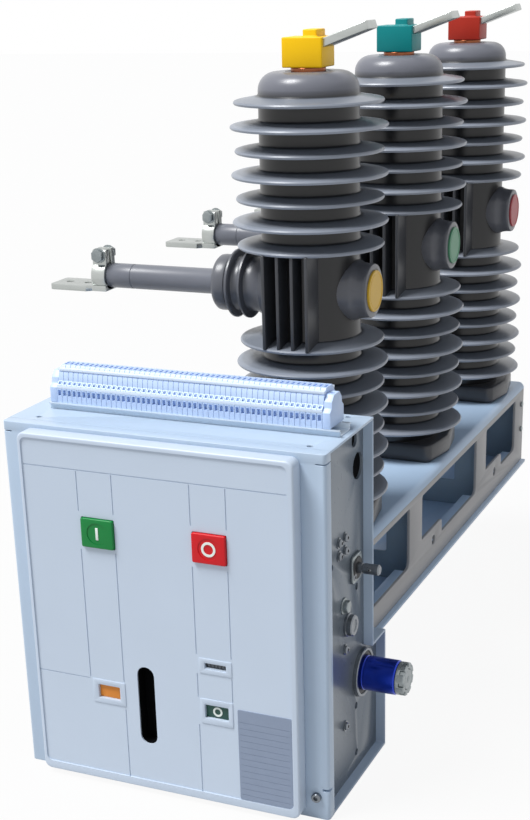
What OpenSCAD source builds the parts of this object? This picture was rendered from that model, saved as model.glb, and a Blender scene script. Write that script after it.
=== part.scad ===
// Fixed three-pole vacuum circuit breaker: mechanism case, base beam and three moulded poles.
// Millimetres. The origin is on the underside of the base beam, straight below the middle pole.
// +X points to the side of the shafts and top bars, -Y to the front panel, +Z up.

/* [Poles] */
// Distance between neighbouring pole axes
pole_pitch = 300; // [260:1:340]
// Radius of the moulded column between its sheds
column_r = 55; // [48:0.5:58]
// Radius of the wide sheds
shed_wide_r = 86.5; // [80:0.5:92]
// Radius of the narrow sheds
shed_narrow_r = 82; // [76:0.5:88]
// Distance from one shed to the next
shed_pitch = 25.6; // [22:0.1:30]
// Height of the lowest shed above the beam
first_shed_rise = 42; // [36:1:60]
// Length of the plain stretch between the lower and the upper sheds
mid_gap = 106; // [96:1:130]
// Height of the cap above the topmost shed
cap_rise = 31; // [24:1:40]
// Radius of the cap's rounded top edge
cap_round = 19; // [8:1:24]
// Thickness of a shed at its rim
shed_rim = 4; // [3:0.5:6]
// How far a shed droops from the column to its rim
shed_droop = 6; // [2:0.5:10]
// Height of the square foot of a pole
foot_h = 24; // [16:1:28]
// Half width of the foot at its corners
foot_half_x = 67; // [60:1:72]
// Half width of the foot at its side ridges
foot_ridge_x = 74; // [68:1:78]
// Half depth of the foot
foot_half_y = 58; // [56:1:64]
// Thickness of the upright ribs
rib_t = 4; // [3:0.5:6]
// Distance between neighbouring ribs
rib_pitch = 16.8; // [14:0.1:20]

/* [Contacts] */
// Height of the contact arm's axis above the lower end of the plain stretch
arm_rise = 57; // [45:1:70]
// Diameter of the contact arm
arm_d = 29; // [24:1:34]
// Distance from the pole axis to the arm's free end
arm_reach = 276; // [240:1:320]
// Length of bare conductor inside the clamp
arm_bare = 18; // [12:1:24]
// Diameter of the bare conductor
conductor_d = 25; // [20:1:28]
// Width of the clamp along the arm
clamp_w = 18; // [14:1:24]
// Wall of the clamp ring
clamp_wall = 5; // [4:0.5:8]
// Width of the connection palm
palm_w = 40; // [30:1:50]
// Thickness of the connection palm
palm_t = 7; // [5:0.5:10]
// Length of the palm beyond the clamp
palm_l = 56; // [50:1:80]
// Distance between the palm's bolt holes
palm_hole_pitch = 25; // [20:1:30]
// Diameter of the palm's bolt holes
palm_hole_d = 9; // [7:0.5:11]
// Radius of the boss opposite the arm
boss_r = 30; // [26:0.5:34]
// Distance from the pole axis to the boss face
boss_reach = 77; // [70:1:90]
// Diameter of the copper stub on the cap
stub_d = 38; // [30:1:44]
// Height of the copper stub
stub_h = 4; // [3:0.5:8]
// Width of the phase block
block_w = 46; // [40:1:56]
// Depth of the phase block
block_d = 38; // [32:1:48]
// Height of the phase block
block_h = 31; // [26:1:40]
// Height of the raised part of the phase block
block_step_h = 8; // [5:0.5:12]
// Width of the top bar
bar_w = 30; // [24:1:32]
// Thickness of the top bar
bar_t = 9; // [6:0.5:10]
// Length of the top bar outside the block
bar_l = 53; // [40:1:80]
// Slope of the top bar
bar_tilt = 19.5; // [10:0.5:25]

/* [Base beam] */
// Width of the beam
beam_w = 160; // [150:1:200]
// Height of the beam
beam_h = 130; // [110:1:160]
// Length of the beam beyond the last pole axis
beam_tail = 81; // [70:1:120]
// Sheet thickness of the beam
beam_t = 4; // [3:0.5:6]
// Outer radius of the beam's folded edges
beam_bend = 9; // [7:0.5:12]
// How far the bottom plate stands out beyond each side
beam_lip = 6; // [4:1:12]
// Height of the window sills above the underside
sill_h = 33; // [28:1:40]
// Height of the window heads above the underside
head_h = 112; // [90:1:114]
// Radius of the window corners
window_round = 10; // [6:1:14]
// Height of the raised tab inside a window, above the sill
tab_h = 19; // [12:1:26]
// Diameter of the side fixing holes
side_hole_d = 13; // [9:0.5:16]
// Diameter of the holes that fasten the beam down
base_hole_d = 14; // [11:0.5:18]
// Distance between the fastening holes across the beam
base_hole_x = 110; // [90:1:130]
// Distance between the fastening holes along the beam
base_hole_y = 500; // [400:10:540]

/* [Mechanism case] */
// Width of the case
case_w = 378; // [340:1:420]
// Height of the case
case_h = 418; // [400:1:460]
// Depth of the upper part of the case
upper_d = 142; // [120:1:150]
// Depth of the lower part of the case
lower_d = 183; // [170:1:190]
// Height of the lower, deeper part of the case
lower_h = 151; // [146:1:170]
// Distance from the right side of the case to the pole axes
case_right = 107; // [102:1:130]
// How far the beam's underside lies above the bottom of the case
case_drop = 126; // [116:1:130]
// Distance from the first pole axis to the front of the case
front_reach = 234; // [232:1:250]
// Sheet thickness of the case
sheet_t = 3; // [2:0.5:4]
// Depth of the front plate with its turned edges
front_t = 15; // [10:1:20]
// How far the sheets stand out beyond the side walls
flange = 11; // [8:1:16]

/* [Front panel] */
// Thickness of the moulded front panel
panel_t = 20; // [17:1:26]
// Margin from the left side of the case to the panel
panel_left = 29.5; // [20:0.5:40]
// Margin from the right side of the case to the panel
panel_right = 27; // [22:0.5:40]
// Margin from the bottom of the case to the panel
panel_low = 6; // [4:0.5:12]
// Margin from the top of the case to the panel
panel_high = 4; // [2:0.5:12]
// Width of a push button
button_w = 39; // [30:1:44]
// Height of a push button
button_h = 33; // [26:1:38]
// Travel of a push button
button_travel = 5; // [3:0.5:6]
// Gap around a push button
button_gap = 0.6; // [0.3:0.1:1]
// Length of the handle slot
slot_l = 95; // [70:1:110]
// Width of the handle slot
slot_w = 21; // [16:1:26]
// Depth of the indicator recesses
recess = 4; // [2:0.5:6]

/* [Shafts] */
// Diameter of the charging shaft
charge_d = 12; // [10:0.5:16]
// Distance that the charging shaft stands out of the side wall
charge_out = 29; // [20:1:40]
// Outer diameter of the charging shaft's bush
bush_d = 22; // [18:1:26]
// Diameter of the drive shaft
drive_d = 40; // [34:1:44]
// Distance that the drive shaft stands out of the side wall
drive_out = 45; // [36:1:60]
// Outer diameter of the drive shaft's bearing
bearing_d = 57; // [50:1:57]
// Length of the slotted nut
nut_l = 11; // [8:1:16]
// Diameter of the slotted nut
nut_d = 38; // [32:1:44]
// Diameter of the threaded end that carries the nut
thread_d = 24; // [18:1:28]
// Radial running clearance of both shafts
shaft_gap = 0.05; // [0.02:0.01:0.1]

/* [Terminals] */
// Number of terminals in the strip
terminal_n = 51; // [40:1:51]
// Width of one terminal
terminal_w = 6.2; // [5.2:0.1:6.2]
// Depth of the mounting rail
rail_d = 35; // [30:1:40]
// Height of the mounting rail
rail_h = 7.5; // [5:0.5:15]
// Height of the terminal strip above the rail
strip_h = 40; // [32:1:50]
// Depth of the terminal strip
strip_d = 43; // [36:1:50]
// Width of an end stop
stop_w = 9; // [6:0.5:12]

/* [Hidden] */
$fn = 64;

// Small overlap that joins two shapes of one piece, and depth that a cut runs past a face
bite = 1;

// Poles
pole_y = [-pole_pitch, 0, pole_pitch];
phase_colors = ["gold", "teal", "firebrick"];
disc_colors = ["goldenrod", "seagreen", "indianred"];
lower_sheds = 8;
upper_sheds = 7;
lower_low_z = beam_h + first_shed_rise;
lower_top_z = lower_low_z + (lower_sheds - 1) * shed_pitch;
upper_low_z = lower_top_z + mid_gap;
upper_top_z = upper_low_z + (upper_sheds - 1) * shed_pitch;
cap_z = upper_top_z + cap_rise;
foot_round = 12;
rib_reach = shed_narrow_r - 1;
rib_count = 4;
arm_z = lower_top_z + arm_rise;

// Collar that carries the contact arm
collar_r = 32;
collar_disc_r = 39;
collar_neck_r = 30;
collar_end = 113;
collar_head = 17;
collar_disc_t = 4;
collar_discs = [92, 76];
boss_root = 6;
disc_t = 2.5;
disc_r = 23;

// Clamp and palm
clamp_r = conductor_d / 2 + clamp_wall;
clamp_x = -arm_reach + clamp_w / 2;
ear_gap = 4;
ear_t = 9;
ear_h = 14;
ear_bolt_d = 8;
palm_z = arm_z - clamp_r;
palm_hole_x = [-arm_reach - 14, -arm_reach - 14 - palm_hole_pitch];

// Head of a pole
block_z = cap_z + stub_h;
bar_foot = 12;
bar_z = block_z + 21;

// Beam
beam_front = -pole_pitch - front_reach + lower_d;
beam_neck = -pole_pitch - front_reach + upper_d;
beam_back = pole_pitch + beam_tail;
fold_edge = 1;
fold_z = beam_h - beam_bend - fold_edge;
window_front = -133;
window_back = 117;
window_tab_end = -47;
side_hole_y = -83;
side_hole_z = 34;
first_window_front = beam_front + 12;
last_window_back = beam_back - 49;
cross_y = [-pole_pitch / 2 - 8, pole_pitch / 2 - 8, beam_back - beam_t];

// Case
front_y = -pole_pitch - front_reach;
case_left = case_right - case_w;
case_low = -case_drop;
case_top = case_low + case_h;
step_z = case_low + lower_h;
upper_back = front_y + upper_d;
lower_back = front_y + lower_d;
wall_right = case_right - flange;
wall_left = case_left + flange;

// Front panel
panel_y = front_y - panel_t;
panel_x0 = case_left + panel_left;
panel_x1 = case_right - panel_right;
panel_z0 = case_low + panel_low;
panel_z1 = case_top - panel_high;
button_z = case_low + 309;
close_x = case_left + 122.5;
trip_x = case_left + 255;
button_proud = 2;
button_d = 11;
well_d = button_d - button_proud + button_travel + 1.5;
slot_x = case_left + 170;
slot_z = case_low + 110.5;
slot_depth = panel_t - 2;
flag_x = case_left + 123;
flag_z = case_low + 119;
flag_size = [27, 16];
counter_x = case_left + 256;
counter_z = case_low + 173.5;
counter_size = [25, 7];
position_x = case_left + 255.7;
position_z = case_low + 118;
position_size = [28, 16];
rating_x = case_left + 312;
rating_z = case_low + 72;
rating_size = [63, 110];
plate_t = 0.8;
fit_gap = 0.2;

// Shafts on the right side wall
charge_y = front_y + 112;
charge_z = case_low + 254;
charge_in = 20;
bush_out = 4;
bush_in = 12;
drive_y = front_y + 131;
drive_z = case_low + 118;
drive_in = 24;
bearing_out = 5;
bearing_in = 11;
side_hole_small_d = 16;
side_hole_large_d = 30;
side_hole_depth = 14;
small_hole = [front_y + 112, case_low + 400];
large_hole = [front_y + 122, case_low + 368];

// Terminals
rail_x0 = case_left + 25;
rail_x1 = case_right - 7;
rail_y = front_y + 57;
rail_wall = 1.5;
strip_y = rail_y + 3;
strip_x0 = rail_x0 + stop_w + 1;
strip_x1 = strip_x0 + terminal_n * terminal_w;
strip_z = case_top + rail_h;

// Outline of one shed as seen in section: root top, rim top, rim bottom, root bottom
function shed_points(r, z) = [
    [column_r - bite, z + shed_droop + shed_rim],
    [r - shed_rim / 2, z + shed_rim / 2],
    [r, z],
    [r - shed_rim / 2, z - shed_rim / 2],
    [column_r - bite, z]
];

module shed(r, z) {
    rotate_extrude()
        polygon(shed_points(r, z));
}

// A row of sheds, narrow at the top and then wide and narrow in turn
module shed_row(count, top_z) {
    for (i = [0 : count - 1])
        shed(i % 2 == 0 ? shed_narrow_r : shed_wide_r, top_z - i * shed_pitch);
}

// Section of a column from its foot to the rounded cap
module column_section() {
    square([column_r, cap_z - cap_round]);
    square([column_r - cap_round, cap_z]);
    translate([column_r - cap_round, cap_z - cap_round])
        circle(r = cap_round);
}

module column() {
    rotate_extrude()
        intersection() {
            column_section();
            translate([0, beam_h])
                square([column_r, cap_z]);
        }
}

// Foot outline: flat front and back, rounded corners, a shallow ridge on either side
module foot_outline() {
    corner_x = foot_half_x - foot_round;
    corner_y = foot_half_y - foot_round;
    for (sx = [-1, 1], sy = [-1, 1])
        translate([sx * corner_x, sy * corner_y])
            circle(r = foot_round);
    square([2 * corner_x, 2 * foot_half_y], center = true);
    polygon([
        [-foot_half_x, -corner_y], [foot_half_x, -corner_y], [foot_ridge_x, 0],
        [foot_half_x, corner_y], [-foot_half_x, corner_y], [-foot_ridge_x, 0]
    ]);
}

module ribs() {
    first = -(rib_count - 1) / 2 * rib_pitch;
    for (i = [0 : rib_count - 1])
        translate([first + i * rib_pitch - rib_t / 2, -rib_reach, lower_top_z])
            cube([rib_t, 2 * rib_reach, mid_gap]);
}

// Cylinder along the arm's axis between two places
module along_x(x0, x1, r) {
    translate([x0, 0, arm_z])
        rotate([0, 90, 0])
            cylinder(r = r, h = x1 - x0);
}

module collar() {
    along_x(-collar_end + collar_head / 2, 0, collar_neck_r);
    along_x(-collar_end, -collar_end + collar_head, collar_r);
    for (x = collar_discs)
        along_x(-x, -x + collar_disc_t, collar_disc_r);
}

module boss() {
    along_x(0, boss_reach - disc_t, boss_r);
    along_x(0, column_r + boss_root, boss_r + boss_root / 2);
}

module insulator(k) {
    color("dimgray")
        translate([0, pole_y[k], 0])
            difference() {
                union() {
                    column();
                    translate([0, 0, beam_h])
                        linear_extrude(foot_h)
                            foot_outline();
                    shed_row(lower_sheds, lower_top_z);
                    shed_row(upper_sheds, upper_top_z);
                    ribs();
                    collar();
                    boss();
                }
                translate([-collar_end - bite, 0, arm_z])
                    rotate([0, 90, 0])
                        cylinder(d = arm_d, h = collar_head + bite);
            }
}

module arm(k) {
    color("gray")
        translate([0, pole_y[k], arm_z])
            rotate([0, -90, 0]) {
                translate([0, 0, collar_end - collar_head])
                    cylinder(d = arm_d, h = arm_reach - arm_bare - collar_end + collar_head);
                translate([0, 0, collar_end])
                    cylinder(d = conductor_d, h = arm_reach - collar_end);
            }
}

// Split clamp ring with two ears above and the connection palm below
module clamp(k) {
    ear_y = ear_gap / 2 + ear_t;
    color("silver")
        translate([0, pole_y[k], 0])
            difference() {
                union() {
                    translate([clamp_x, 0, arm_z])
                        rotate([0, 90, 0])
                            cylinder(r = clamp_r, h = clamp_w, center = true);
                    translate([clamp_x - clamp_w / 2, -ear_y, arm_z])
                        cube([clamp_w, 2 * ear_y, clamp_r + ear_h]);
                    translate([-arm_reach, -palm_w / 2, palm_z])
                        cube([clamp_w, palm_w, palm_t]);
                    translate([-arm_reach - palm_l, -palm_w / 2, palm_z])
                        cube([palm_l + bite, palm_w, palm_t]);
                }
                translate([clamp_x, 0, arm_z])
                    rotate([0, 90, 0])
                        cylinder(d = conductor_d, h = clamp_w + 2 * bite, center = true);
                translate([clamp_x - clamp_w / 2 - bite, -ear_gap / 2, arm_z])
                    cube([clamp_w + 2 * bite, ear_gap, clamp_r + ear_h + bite]);
                translate([clamp_x, 0, arm_z + clamp_r + ear_h / 2])
                    rotate([90, 0, 0])
                        cylinder(d = ear_bolt_d, h = 2 * ear_y + 2 * bite, center = true);
                for (x = palm_hole_x)
                    translate([x, 0, palm_z - bite])
                        cylinder(d = palm_hole_d, h = palm_t + 2 * bite);
            }
}

module stub(k) {
    color("peru")
        translate([0, pole_y[k], cap_z])
            cylinder(d = stub_d, h = stub_h);
}

// The bar as a sloped box whose axis starts inside the block
module sloped_bar(x0, length, grow) {
    translate([x0, 0, bar_z])
        rotate([0, -bar_tilt, 0])
            translate([0, -bar_w / 2 - grow, -bar_t / 2 - grow])
                cube([length, bar_w + 2 * grow, bar_t + 2 * grow]);
}

module phase_block(k) {
    step_d = block_d - 8;
    color(phase_colors[k])
        translate([0, pole_y[k], 0])
            difference() {
                union() {
                    translate([-block_w / 2, -block_d / 2, block_z])
                        cube([block_w, block_d, block_h]);
                    translate([0, -step_d / 2, block_z])
                        cube([block_w / 2, step_d, block_h + block_step_h]);
                }
                sloped_bar(block_w / 2 - bar_foot, block_w, 0);
            }
}

module top_bar(k) {
    color("gainsboro")
        translate([0, pole_y[k], 0])
            sloped_bar(block_w / 2 - bar_foot, bar_foot + bar_l, 0);
}

module phase_disc(k) {
    color(disc_colors[k])
        translate([boss_reach - disc_t, pole_y[k], arm_z])
            rotate([0, 90, 0])
                cylinder(r = disc_r, h = disc_t);
}

// Section of the folded top plate with its two rounded edges, drawn as [across, height]
module beam_top_section() {
    flat = beam_w / 2 - beam_bend;
    bend_z = beam_h - beam_bend;
    intersection() {
        translate([-beam_w / 2, fold_z])
            square([beam_w, beam_bend + fold_edge]);
        difference() {
            union() {
                translate([-flat, 0])
                    square([2 * flat, beam_h]);
                translate([-beam_w / 2, 0])
                    square([beam_w, bend_z]);
                for (sx = [-1, 1])
                    translate([sx * flat, bend_z])
                        circle(r = beam_bend);
            }
            translate([-flat, 0])
                square([2 * flat, beam_h - beam_t]);
            translate([-beam_w / 2 + beam_t, 0])
                square([beam_w - 2 * beam_t, bend_z]);
            for (sx = [-1, 1])
                translate([sx * flat, bend_z])
                    circle(r = beam_bend - beam_t);
        }
    }
}

module beam_top() {
    color("lightsteelblue")
        translate([0, beam_back, 0])
            rotate([90, 0, 0])
                linear_extrude(beam_back - beam_neck)
                    beam_top_section();
}

// Rounded window between two places along the beam, drawn as [along the beam, height]
module window(y0, y1, z0, z1) {
    for (y = [y0 + window_round, y1 - window_round])
        translate([y, z0 + window_round])
            circle(r = window_round);
    translate([y0 + window_round, z0])
        square([y1 - y0 - 2 * window_round, z1 - z0]);
    translate([y0, z0 + window_round])
        square([y1 - y0, z1 - z0 - window_round]);
}

// Window of a middle or last bay, with the raised tab that carries a fixing hole
module tab_window(centre_y, y1) {
    difference() {
        window(centre_y + window_front, y1, sill_h, head_h);
        translate([centre_y + window_front - bite, 0])
            square([window_tab_end - window_front + bite, sill_h + tab_h]);
    }
}

// Outline of a beam side, drawn as [along the beam, height]
module side_outline() {
    difference() {
        union() {
            translate([beam_front, beam_t])
                square([beam_back - beam_front, fold_z - beam_t]);
            translate([beam_neck, step_z])
                square([beam_front - beam_neck + bite, fold_z - step_z]);
        }
        window(first_window_front, -pole_pitch + window_back, sill_h, head_h);
        tab_window(0, window_back);
        tab_window(pole_pitch, last_window_back);
        for (k = [1, 2])
            translate([pole_y[k] + side_hole_y, side_hole_z])
                circle(d = side_hole_d);
    }
}

module beam_side(outer_x) {
    color("lightsteelblue")
        translate([outer_x, 0, 0])
            rotate([90, 0, 90])
                linear_extrude(beam_t)
                    side_outline();
}

module beam_side_right() {
    beam_side(beam_w / 2 - beam_t);
}

module beam_side_left() {
    beam_side(-beam_w / 2);
}

module beam_bottom() {
    width = beam_w + 2 * beam_lip;
    color("lightsteelblue")
        difference() {
            translate([-width / 2, beam_front, 0])
                cube([width, beam_back - beam_front, beam_t]);
            for (sx = [-1, 1], sy = [-1, 1])
                translate([sx * base_hole_x / 2, sy * base_hole_y / 2, -bite])
                    cylinder(d = base_hole_d, h = beam_t + 2 * bite);
        }
}

module cross_plates() {
    inside = beam_w - 2 * beam_t;
    notch = 40;
    color("lightslategray")
        for (i = [0 : len(cross_y) - 1])
            difference() {
                translate([-inside / 2, cross_y[i], beam_t])
                    cube([inside, beam_t, fold_z - beam_t]);
                if (i < len(cross_y) - 1)
                    translate([-notch, cross_y[i] - bite, fold_z - 2 * notch])
                        cube([2 * notch, beam_t + 2 * bite, notch]);
            }
}

// Stepped outline of the case seen from its right side, drawn as [depth, height]
module case_outline(inset_front, inset_back, inset_low, inset_top) {
    y0 = front_y + inset_front;
    z0 = case_low + inset_low;
    translate([y0, z0])
        square([lower_back - inset_back - y0, step_z - inset_back - z0]);
    translate([y0, z0])
        square([upper_back - inset_back - y0, case_top - inset_top - z0]);
}

module side_cylinder(place, d, x0, x1) {
    translate([x0, place[0], place[1]])
        rotate([0, 90, 0])
            cylinder(d = d, h = x1 - x0);
}

module case_body() {
    charge_place = [charge_y, charge_z];
    drive_place = [drive_y, drive_z];
    hollow = 2;
    color("lightsteelblue")
        difference() {
            translate([wall_left, 0, 0])
                rotate([90, 0, 90])
                    linear_extrude(wall_right - wall_left)
                        case_outline(front_t, sheet_t, sheet_t, sheet_t);
            side_cylinder(charge_place, bush_d, wall_right - bush_in, wall_right + bite);
            side_cylinder(charge_place, charge_d + 2 * hollow, wall_right - charge_in - hollow, wall_right);
            side_cylinder(drive_place, bearing_d, wall_right - bearing_in, wall_right + bite);
            side_cylinder(drive_place, drive_d + 2 * hollow, wall_right - drive_in - hollow, wall_right);
            side_cylinder(small_hole, side_hole_small_d, wall_right - side_hole_depth, wall_right + bite);
            side_cylinder(large_hole, side_hole_large_d, wall_right - side_hole_depth, wall_right + bite);
            side_cylinder(small_hole, side_hole_small_d, wall_left - bite, wall_left + side_hole_depth);
            side_cylinder(large_hole, side_hole_large_d, wall_left - bite, wall_left + side_hole_depth);
        }
}

module front_plate() {
    color("lightsteelblue")
        translate([case_left, front_y, case_low])
            cube([case_w, front_t, case_h]);
}

module top_sheet() {
    color("aliceblue")
        translate([case_left, front_y + front_t, case_top - sheet_t])
            cube([case_w, upper_d - front_t, sheet_t]);
}

// One folded sheet: bottom, lower back, step and upper back
module back_sheet() {
    color("lightsteelblue")
        translate([case_left, 0, 0])
            rotate([90, 0, 90])
                linear_extrude(case_w)
                    difference() {
                        case_outline(front_t, 0, 0, sheet_t);
                        case_outline(front_t - bite, sheet_t, sheet_t, -bite);
                    }
}

module panel_pocket(x, z, size, depth) {
    translate([x - size[0] / 2, panel_y - bite, z - size[1] / 2])
        cube([size[0], depth + bite, size[1]]);
}

module front_panel() {
    well = [button_w + 2 * button_gap, button_h + 2 * button_gap];
    color("gainsboro")
        difference() {
            translate([panel_x0, panel_y, panel_z0])
                cube([panel_x1 - panel_x0, panel_t, panel_z1 - panel_z0]);
            panel_pocket(close_x, button_z, well, well_d);
            panel_pocket(trip_x, button_z, well, well_d);
            panel_pocket(flag_x, flag_z, flag_size, recess);
            panel_pocket(counter_x, counter_z, counter_size, recess);
            panel_pocket(position_x, position_z, position_size, recess);
            panel_pocket(rating_x, rating_z, rating_size, plate_t);
            panel_pocket(slot_x, slot_z, [slot_w, slot_l - slot_w], slot_depth);
            for (s = [-1, 1])
                translate([slot_x, panel_y - bite, slot_z + s * (slot_l - slot_w) / 2])
                    rotate([-90, 0, 0])
                        cylinder(d = slot_w, h = slot_depth + bite);
        }
}

module button(x) {
    translate([x - button_w / 2, panel_y - button_proud, button_z - button_h / 2])
        cube([button_w, button_d, button_h]);
}

module close_button() {
    color("green")
        button(close_x);
}

module trip_button() {
    color("red")
        button(trip_x);
}

// Thin plate that lies in a recess of the front panel
module panel_insert(x, z, size, depth, thickness) {
    translate([x - size[0] / 2 + fit_gap, panel_y + depth - thickness, z - size[1] / 2 + fit_gap])
        cube([size[0] - 2 * fit_gap, thickness, size[1] - 2 * fit_gap]);
}

module charge_flag() {
    color("orange")
        panel_insert(flag_x, flag_z, flag_size, recess, plate_t);
}

module counter() {
    color("white")
        panel_insert(counter_x, counter_z, counter_size, recess, plate_t);
}

module position_flag() {
    color("darkslategray")
        panel_insert(position_x, position_z, position_size, recess, plate_t);
}

module rating_plate() {
    color("lightslategray")
        panel_insert(rating_x, rating_z, rating_size, plate_t, plate_t);
}

// Shallow channel that opens upwards
module din_rail() {
    lip = 5;
    color("silver")
        translate([rail_x0, rail_y, case_top])
            difference() {
                cube([rail_x1 - rail_x0, rail_d, rail_h]);
                translate([-bite, rail_wall, rail_wall])
                    cube([rail_x1 - rail_x0 + 2 * bite, rail_d - 2 * rail_wall, rail_h - 2 * rail_wall]);
                translate([-bite, lip, rail_wall])
                    cube([rail_x1 - rail_x0 + 2 * bite, rail_d - 2 * lip, rail_h]);
            }
}

// Stepped outline of a terminal, drawn as [depth, height]
module terminal_outline(depth, height) {
    low = height * 0.55;
    polygon([
        [0, 0], [depth, 0], [depth, low], [depth * 0.86, height * 0.8],
        [depth * 0.68, height], [depth * 0.22, height], [depth * 0.04, low]
    ]);
}

module terminal_slice(x, width, depth, height) {
    translate([x, strip_y, strip_z])
        rotate([90, 0, 90])
            linear_extrude(width)
                terminal_outline(depth, height);
}

module terminal_strip() {
    color("lavender")
        terminal_slice(strip_x0, strip_x1 - strip_x0, strip_d, strip_h);
}

module end_stops() {
    color("lightblue") {
        terminal_slice(strip_x0 - stop_w, stop_w, strip_d - 4, strip_h - 6);
        terminal_slice(strip_x1, stop_w, strip_d - 4, strip_h - 6);
    }
}

module charging_bush() {
    place = [charge_y, charge_z];
    bore_d = charge_d + 2 * shaft_gap;
    color("darkgray")
        difference() {
            union() {
                side_cylinder(place, bush_d, wall_right - bush_in, wall_right);
                side_cylinder(place, bush_d + 4, wall_right, wall_right + bush_out);
            }
            side_cylinder(place, bore_d, wall_right - bush_in - bite, wall_right + bush_out + bite);
        }
}

module charging_shaft() {
    cross_d = 4;
    cross_back = 16;
    color("silver")
        difference() {
            side_cylinder([charge_y, charge_z], charge_d, wall_right - charge_in, wall_right + charge_out);
            translate([wall_right + charge_out - cross_back, charge_y, charge_z])
                rotate([90, 0, 0])
                    cylinder(d = cross_d, h = charge_d + 2 * bite, center = true);
        }
}

module shaft_bearing() {
    place = [drive_y, drive_z];
    bore_d = drive_d + 2 * shaft_gap;
    color("gray")
        difference() {
            side_cylinder(place, bearing_d, wall_right - bearing_in, wall_right + bearing_out);
            side_cylinder(place, bore_d, wall_right - bearing_in - bite, wall_right + bearing_out + bite);
        }
}

module drive_shaft() {
    place = [drive_y, drive_z];
    color("mediumblue") {
        side_cylinder(place, drive_d, wall_right - drive_in, wall_right + drive_out);
        side_cylinder(place, thread_d, wall_right + drive_out - bite, wall_right + drive_out + nut_l);
    }
}

module shaft_nut() {
    place = [drive_y, drive_z];
    slots = 8;
    slot_size = 5;
    nut_x = wall_right + drive_out;
    color("silver")
        difference() {
            side_cylinder(place, nut_d, nut_x, nut_x + nut_l);
            side_cylinder(place, thread_d, nut_x - bite, nut_x + nut_l + bite);
            for (i = [0 : slots - 1])
                translate([nut_x, drive_y, drive_z])
                    rotate([i * 360 / slots, 0, 0])
                        translate([nut_l / 2, -slot_size / 2, nut_d / 2 - 3])
                            cube([nut_l, slot_size, 6]);
        }
}

insulator(0);  // insulator_1
insulator(1);  // insulator_2
insulator(2);  // insulator_3
arm(0);  // arm_1
arm(1);  // arm_2
arm(2);  // arm_3
clamp(0);  // clamp_1
clamp(1);  // clamp_2
clamp(2);  // clamp_3
stub(0);  // stub_1
stub(1);  // stub_2
stub(2);  // stub_3
phase_block(0);  // phase_block_1
phase_block(1);  // phase_block_2
phase_block(2);  // phase_block_3
top_bar(0);  // top_bar_1
top_bar(1);  // top_bar_2
top_bar(2);  // top_bar_3
phase_disc(0);  // phase_disc_1
phase_disc(1);  // phase_disc_2
phase_disc(2);  // phase_disc_3
beam_top();
beam_side_right();
beam_side_left();
beam_bottom();
cross_plates();
case_body();
front_plate();
top_sheet();
back_sheet();
front_panel();
close_button();
trip_button();
charge_flag();
counter();
position_flag();
rating_plate();
din_rail();
terminal_strip();
end_stops();
charging_bush();
charging_shaft();
shaft_bearing();
drive_shaft();
shaft_nut();
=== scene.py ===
"""Looks of a fixed three-pole vacuum circuit breaker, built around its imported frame. Sizes in millimetres."""

import logging
import math
from dataclasses import dataclass, field
from enum import Enum
from typing import NamedTuple

import bpy
from mathutils import Matrix, Vector


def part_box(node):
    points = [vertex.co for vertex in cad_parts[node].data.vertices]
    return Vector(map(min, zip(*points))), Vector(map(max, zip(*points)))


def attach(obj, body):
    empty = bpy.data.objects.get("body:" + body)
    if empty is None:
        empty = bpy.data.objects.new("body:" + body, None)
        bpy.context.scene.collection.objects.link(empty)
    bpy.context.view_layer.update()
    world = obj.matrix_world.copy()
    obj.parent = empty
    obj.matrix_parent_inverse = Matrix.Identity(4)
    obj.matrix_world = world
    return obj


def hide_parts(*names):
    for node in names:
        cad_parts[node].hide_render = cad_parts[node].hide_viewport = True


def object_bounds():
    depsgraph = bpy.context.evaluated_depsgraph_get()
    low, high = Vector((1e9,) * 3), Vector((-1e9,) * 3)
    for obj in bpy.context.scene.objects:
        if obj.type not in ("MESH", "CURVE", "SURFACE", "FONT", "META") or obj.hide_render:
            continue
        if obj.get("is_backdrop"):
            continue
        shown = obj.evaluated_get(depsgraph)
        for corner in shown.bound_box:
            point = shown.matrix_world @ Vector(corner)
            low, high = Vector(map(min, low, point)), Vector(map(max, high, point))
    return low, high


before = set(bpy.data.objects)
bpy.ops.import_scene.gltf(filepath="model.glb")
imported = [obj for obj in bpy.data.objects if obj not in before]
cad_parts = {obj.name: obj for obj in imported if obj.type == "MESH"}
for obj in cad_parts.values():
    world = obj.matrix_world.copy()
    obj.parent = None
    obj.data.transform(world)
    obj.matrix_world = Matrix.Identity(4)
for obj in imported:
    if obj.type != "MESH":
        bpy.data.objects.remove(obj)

MM = 0.001
LOG = logging.getLogger("breaker")
Pair = tuple[float, float]
Triple = tuple[float, float, float]
MeshObject = bpy.types.Object
BUMP_STRENGTH = 0.6
COAT_ROUGHNESS = 0.15


class Axis(Enum):
    """Direction along which a shape is drawn out or turned."""

    X = (1.0, 0.0, 0.0)
    Y = (0.0, 1.0, 0.0)
    Z = (0.0, 0.0, 1.0)


class Body(Enum):
    """Rigid bodies of the frame."""

    FRAME = "frame"
    CLOSE = "close_button"
    TRIP = "trip_button"
    CHARGING = "charging_shaft"
    DRIVE = "drive_shaft"


# ---------------------------------------------------------------- workbench


class Corner(NamedTuple):
    """One corner of a box, in millimetres."""

    x: float
    y: float
    z: float


def cad_box(node: str) -> tuple[Corner, Corner]:
    """Lowest and highest corner of a frame node, in millimetres to a hundredth.

    Args:
        node: name of the frame node.

    Returns:
        The two corners.
    """
    low, high = (Corner(*(round(c / MM, 2) for c in corner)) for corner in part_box(node))
    return low, high


def across(node: str, axis: Axis) -> tuple[Pair, Pair]:
    """Middle and size of a frame node, seen along an axis.

    Args:
        node: name of the frame node.
        axis: the axis that it is seen along.

    Returns:
        The two places of its middle and its two sizes, in millimetres.
    """
    spans = [(a, b) for a, b, along in zip(*cad_box(node), axis.value) if not along]
    return tuple((a + b) / 2 for a, b in spans), tuple(b - a for a, b in spans)


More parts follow.
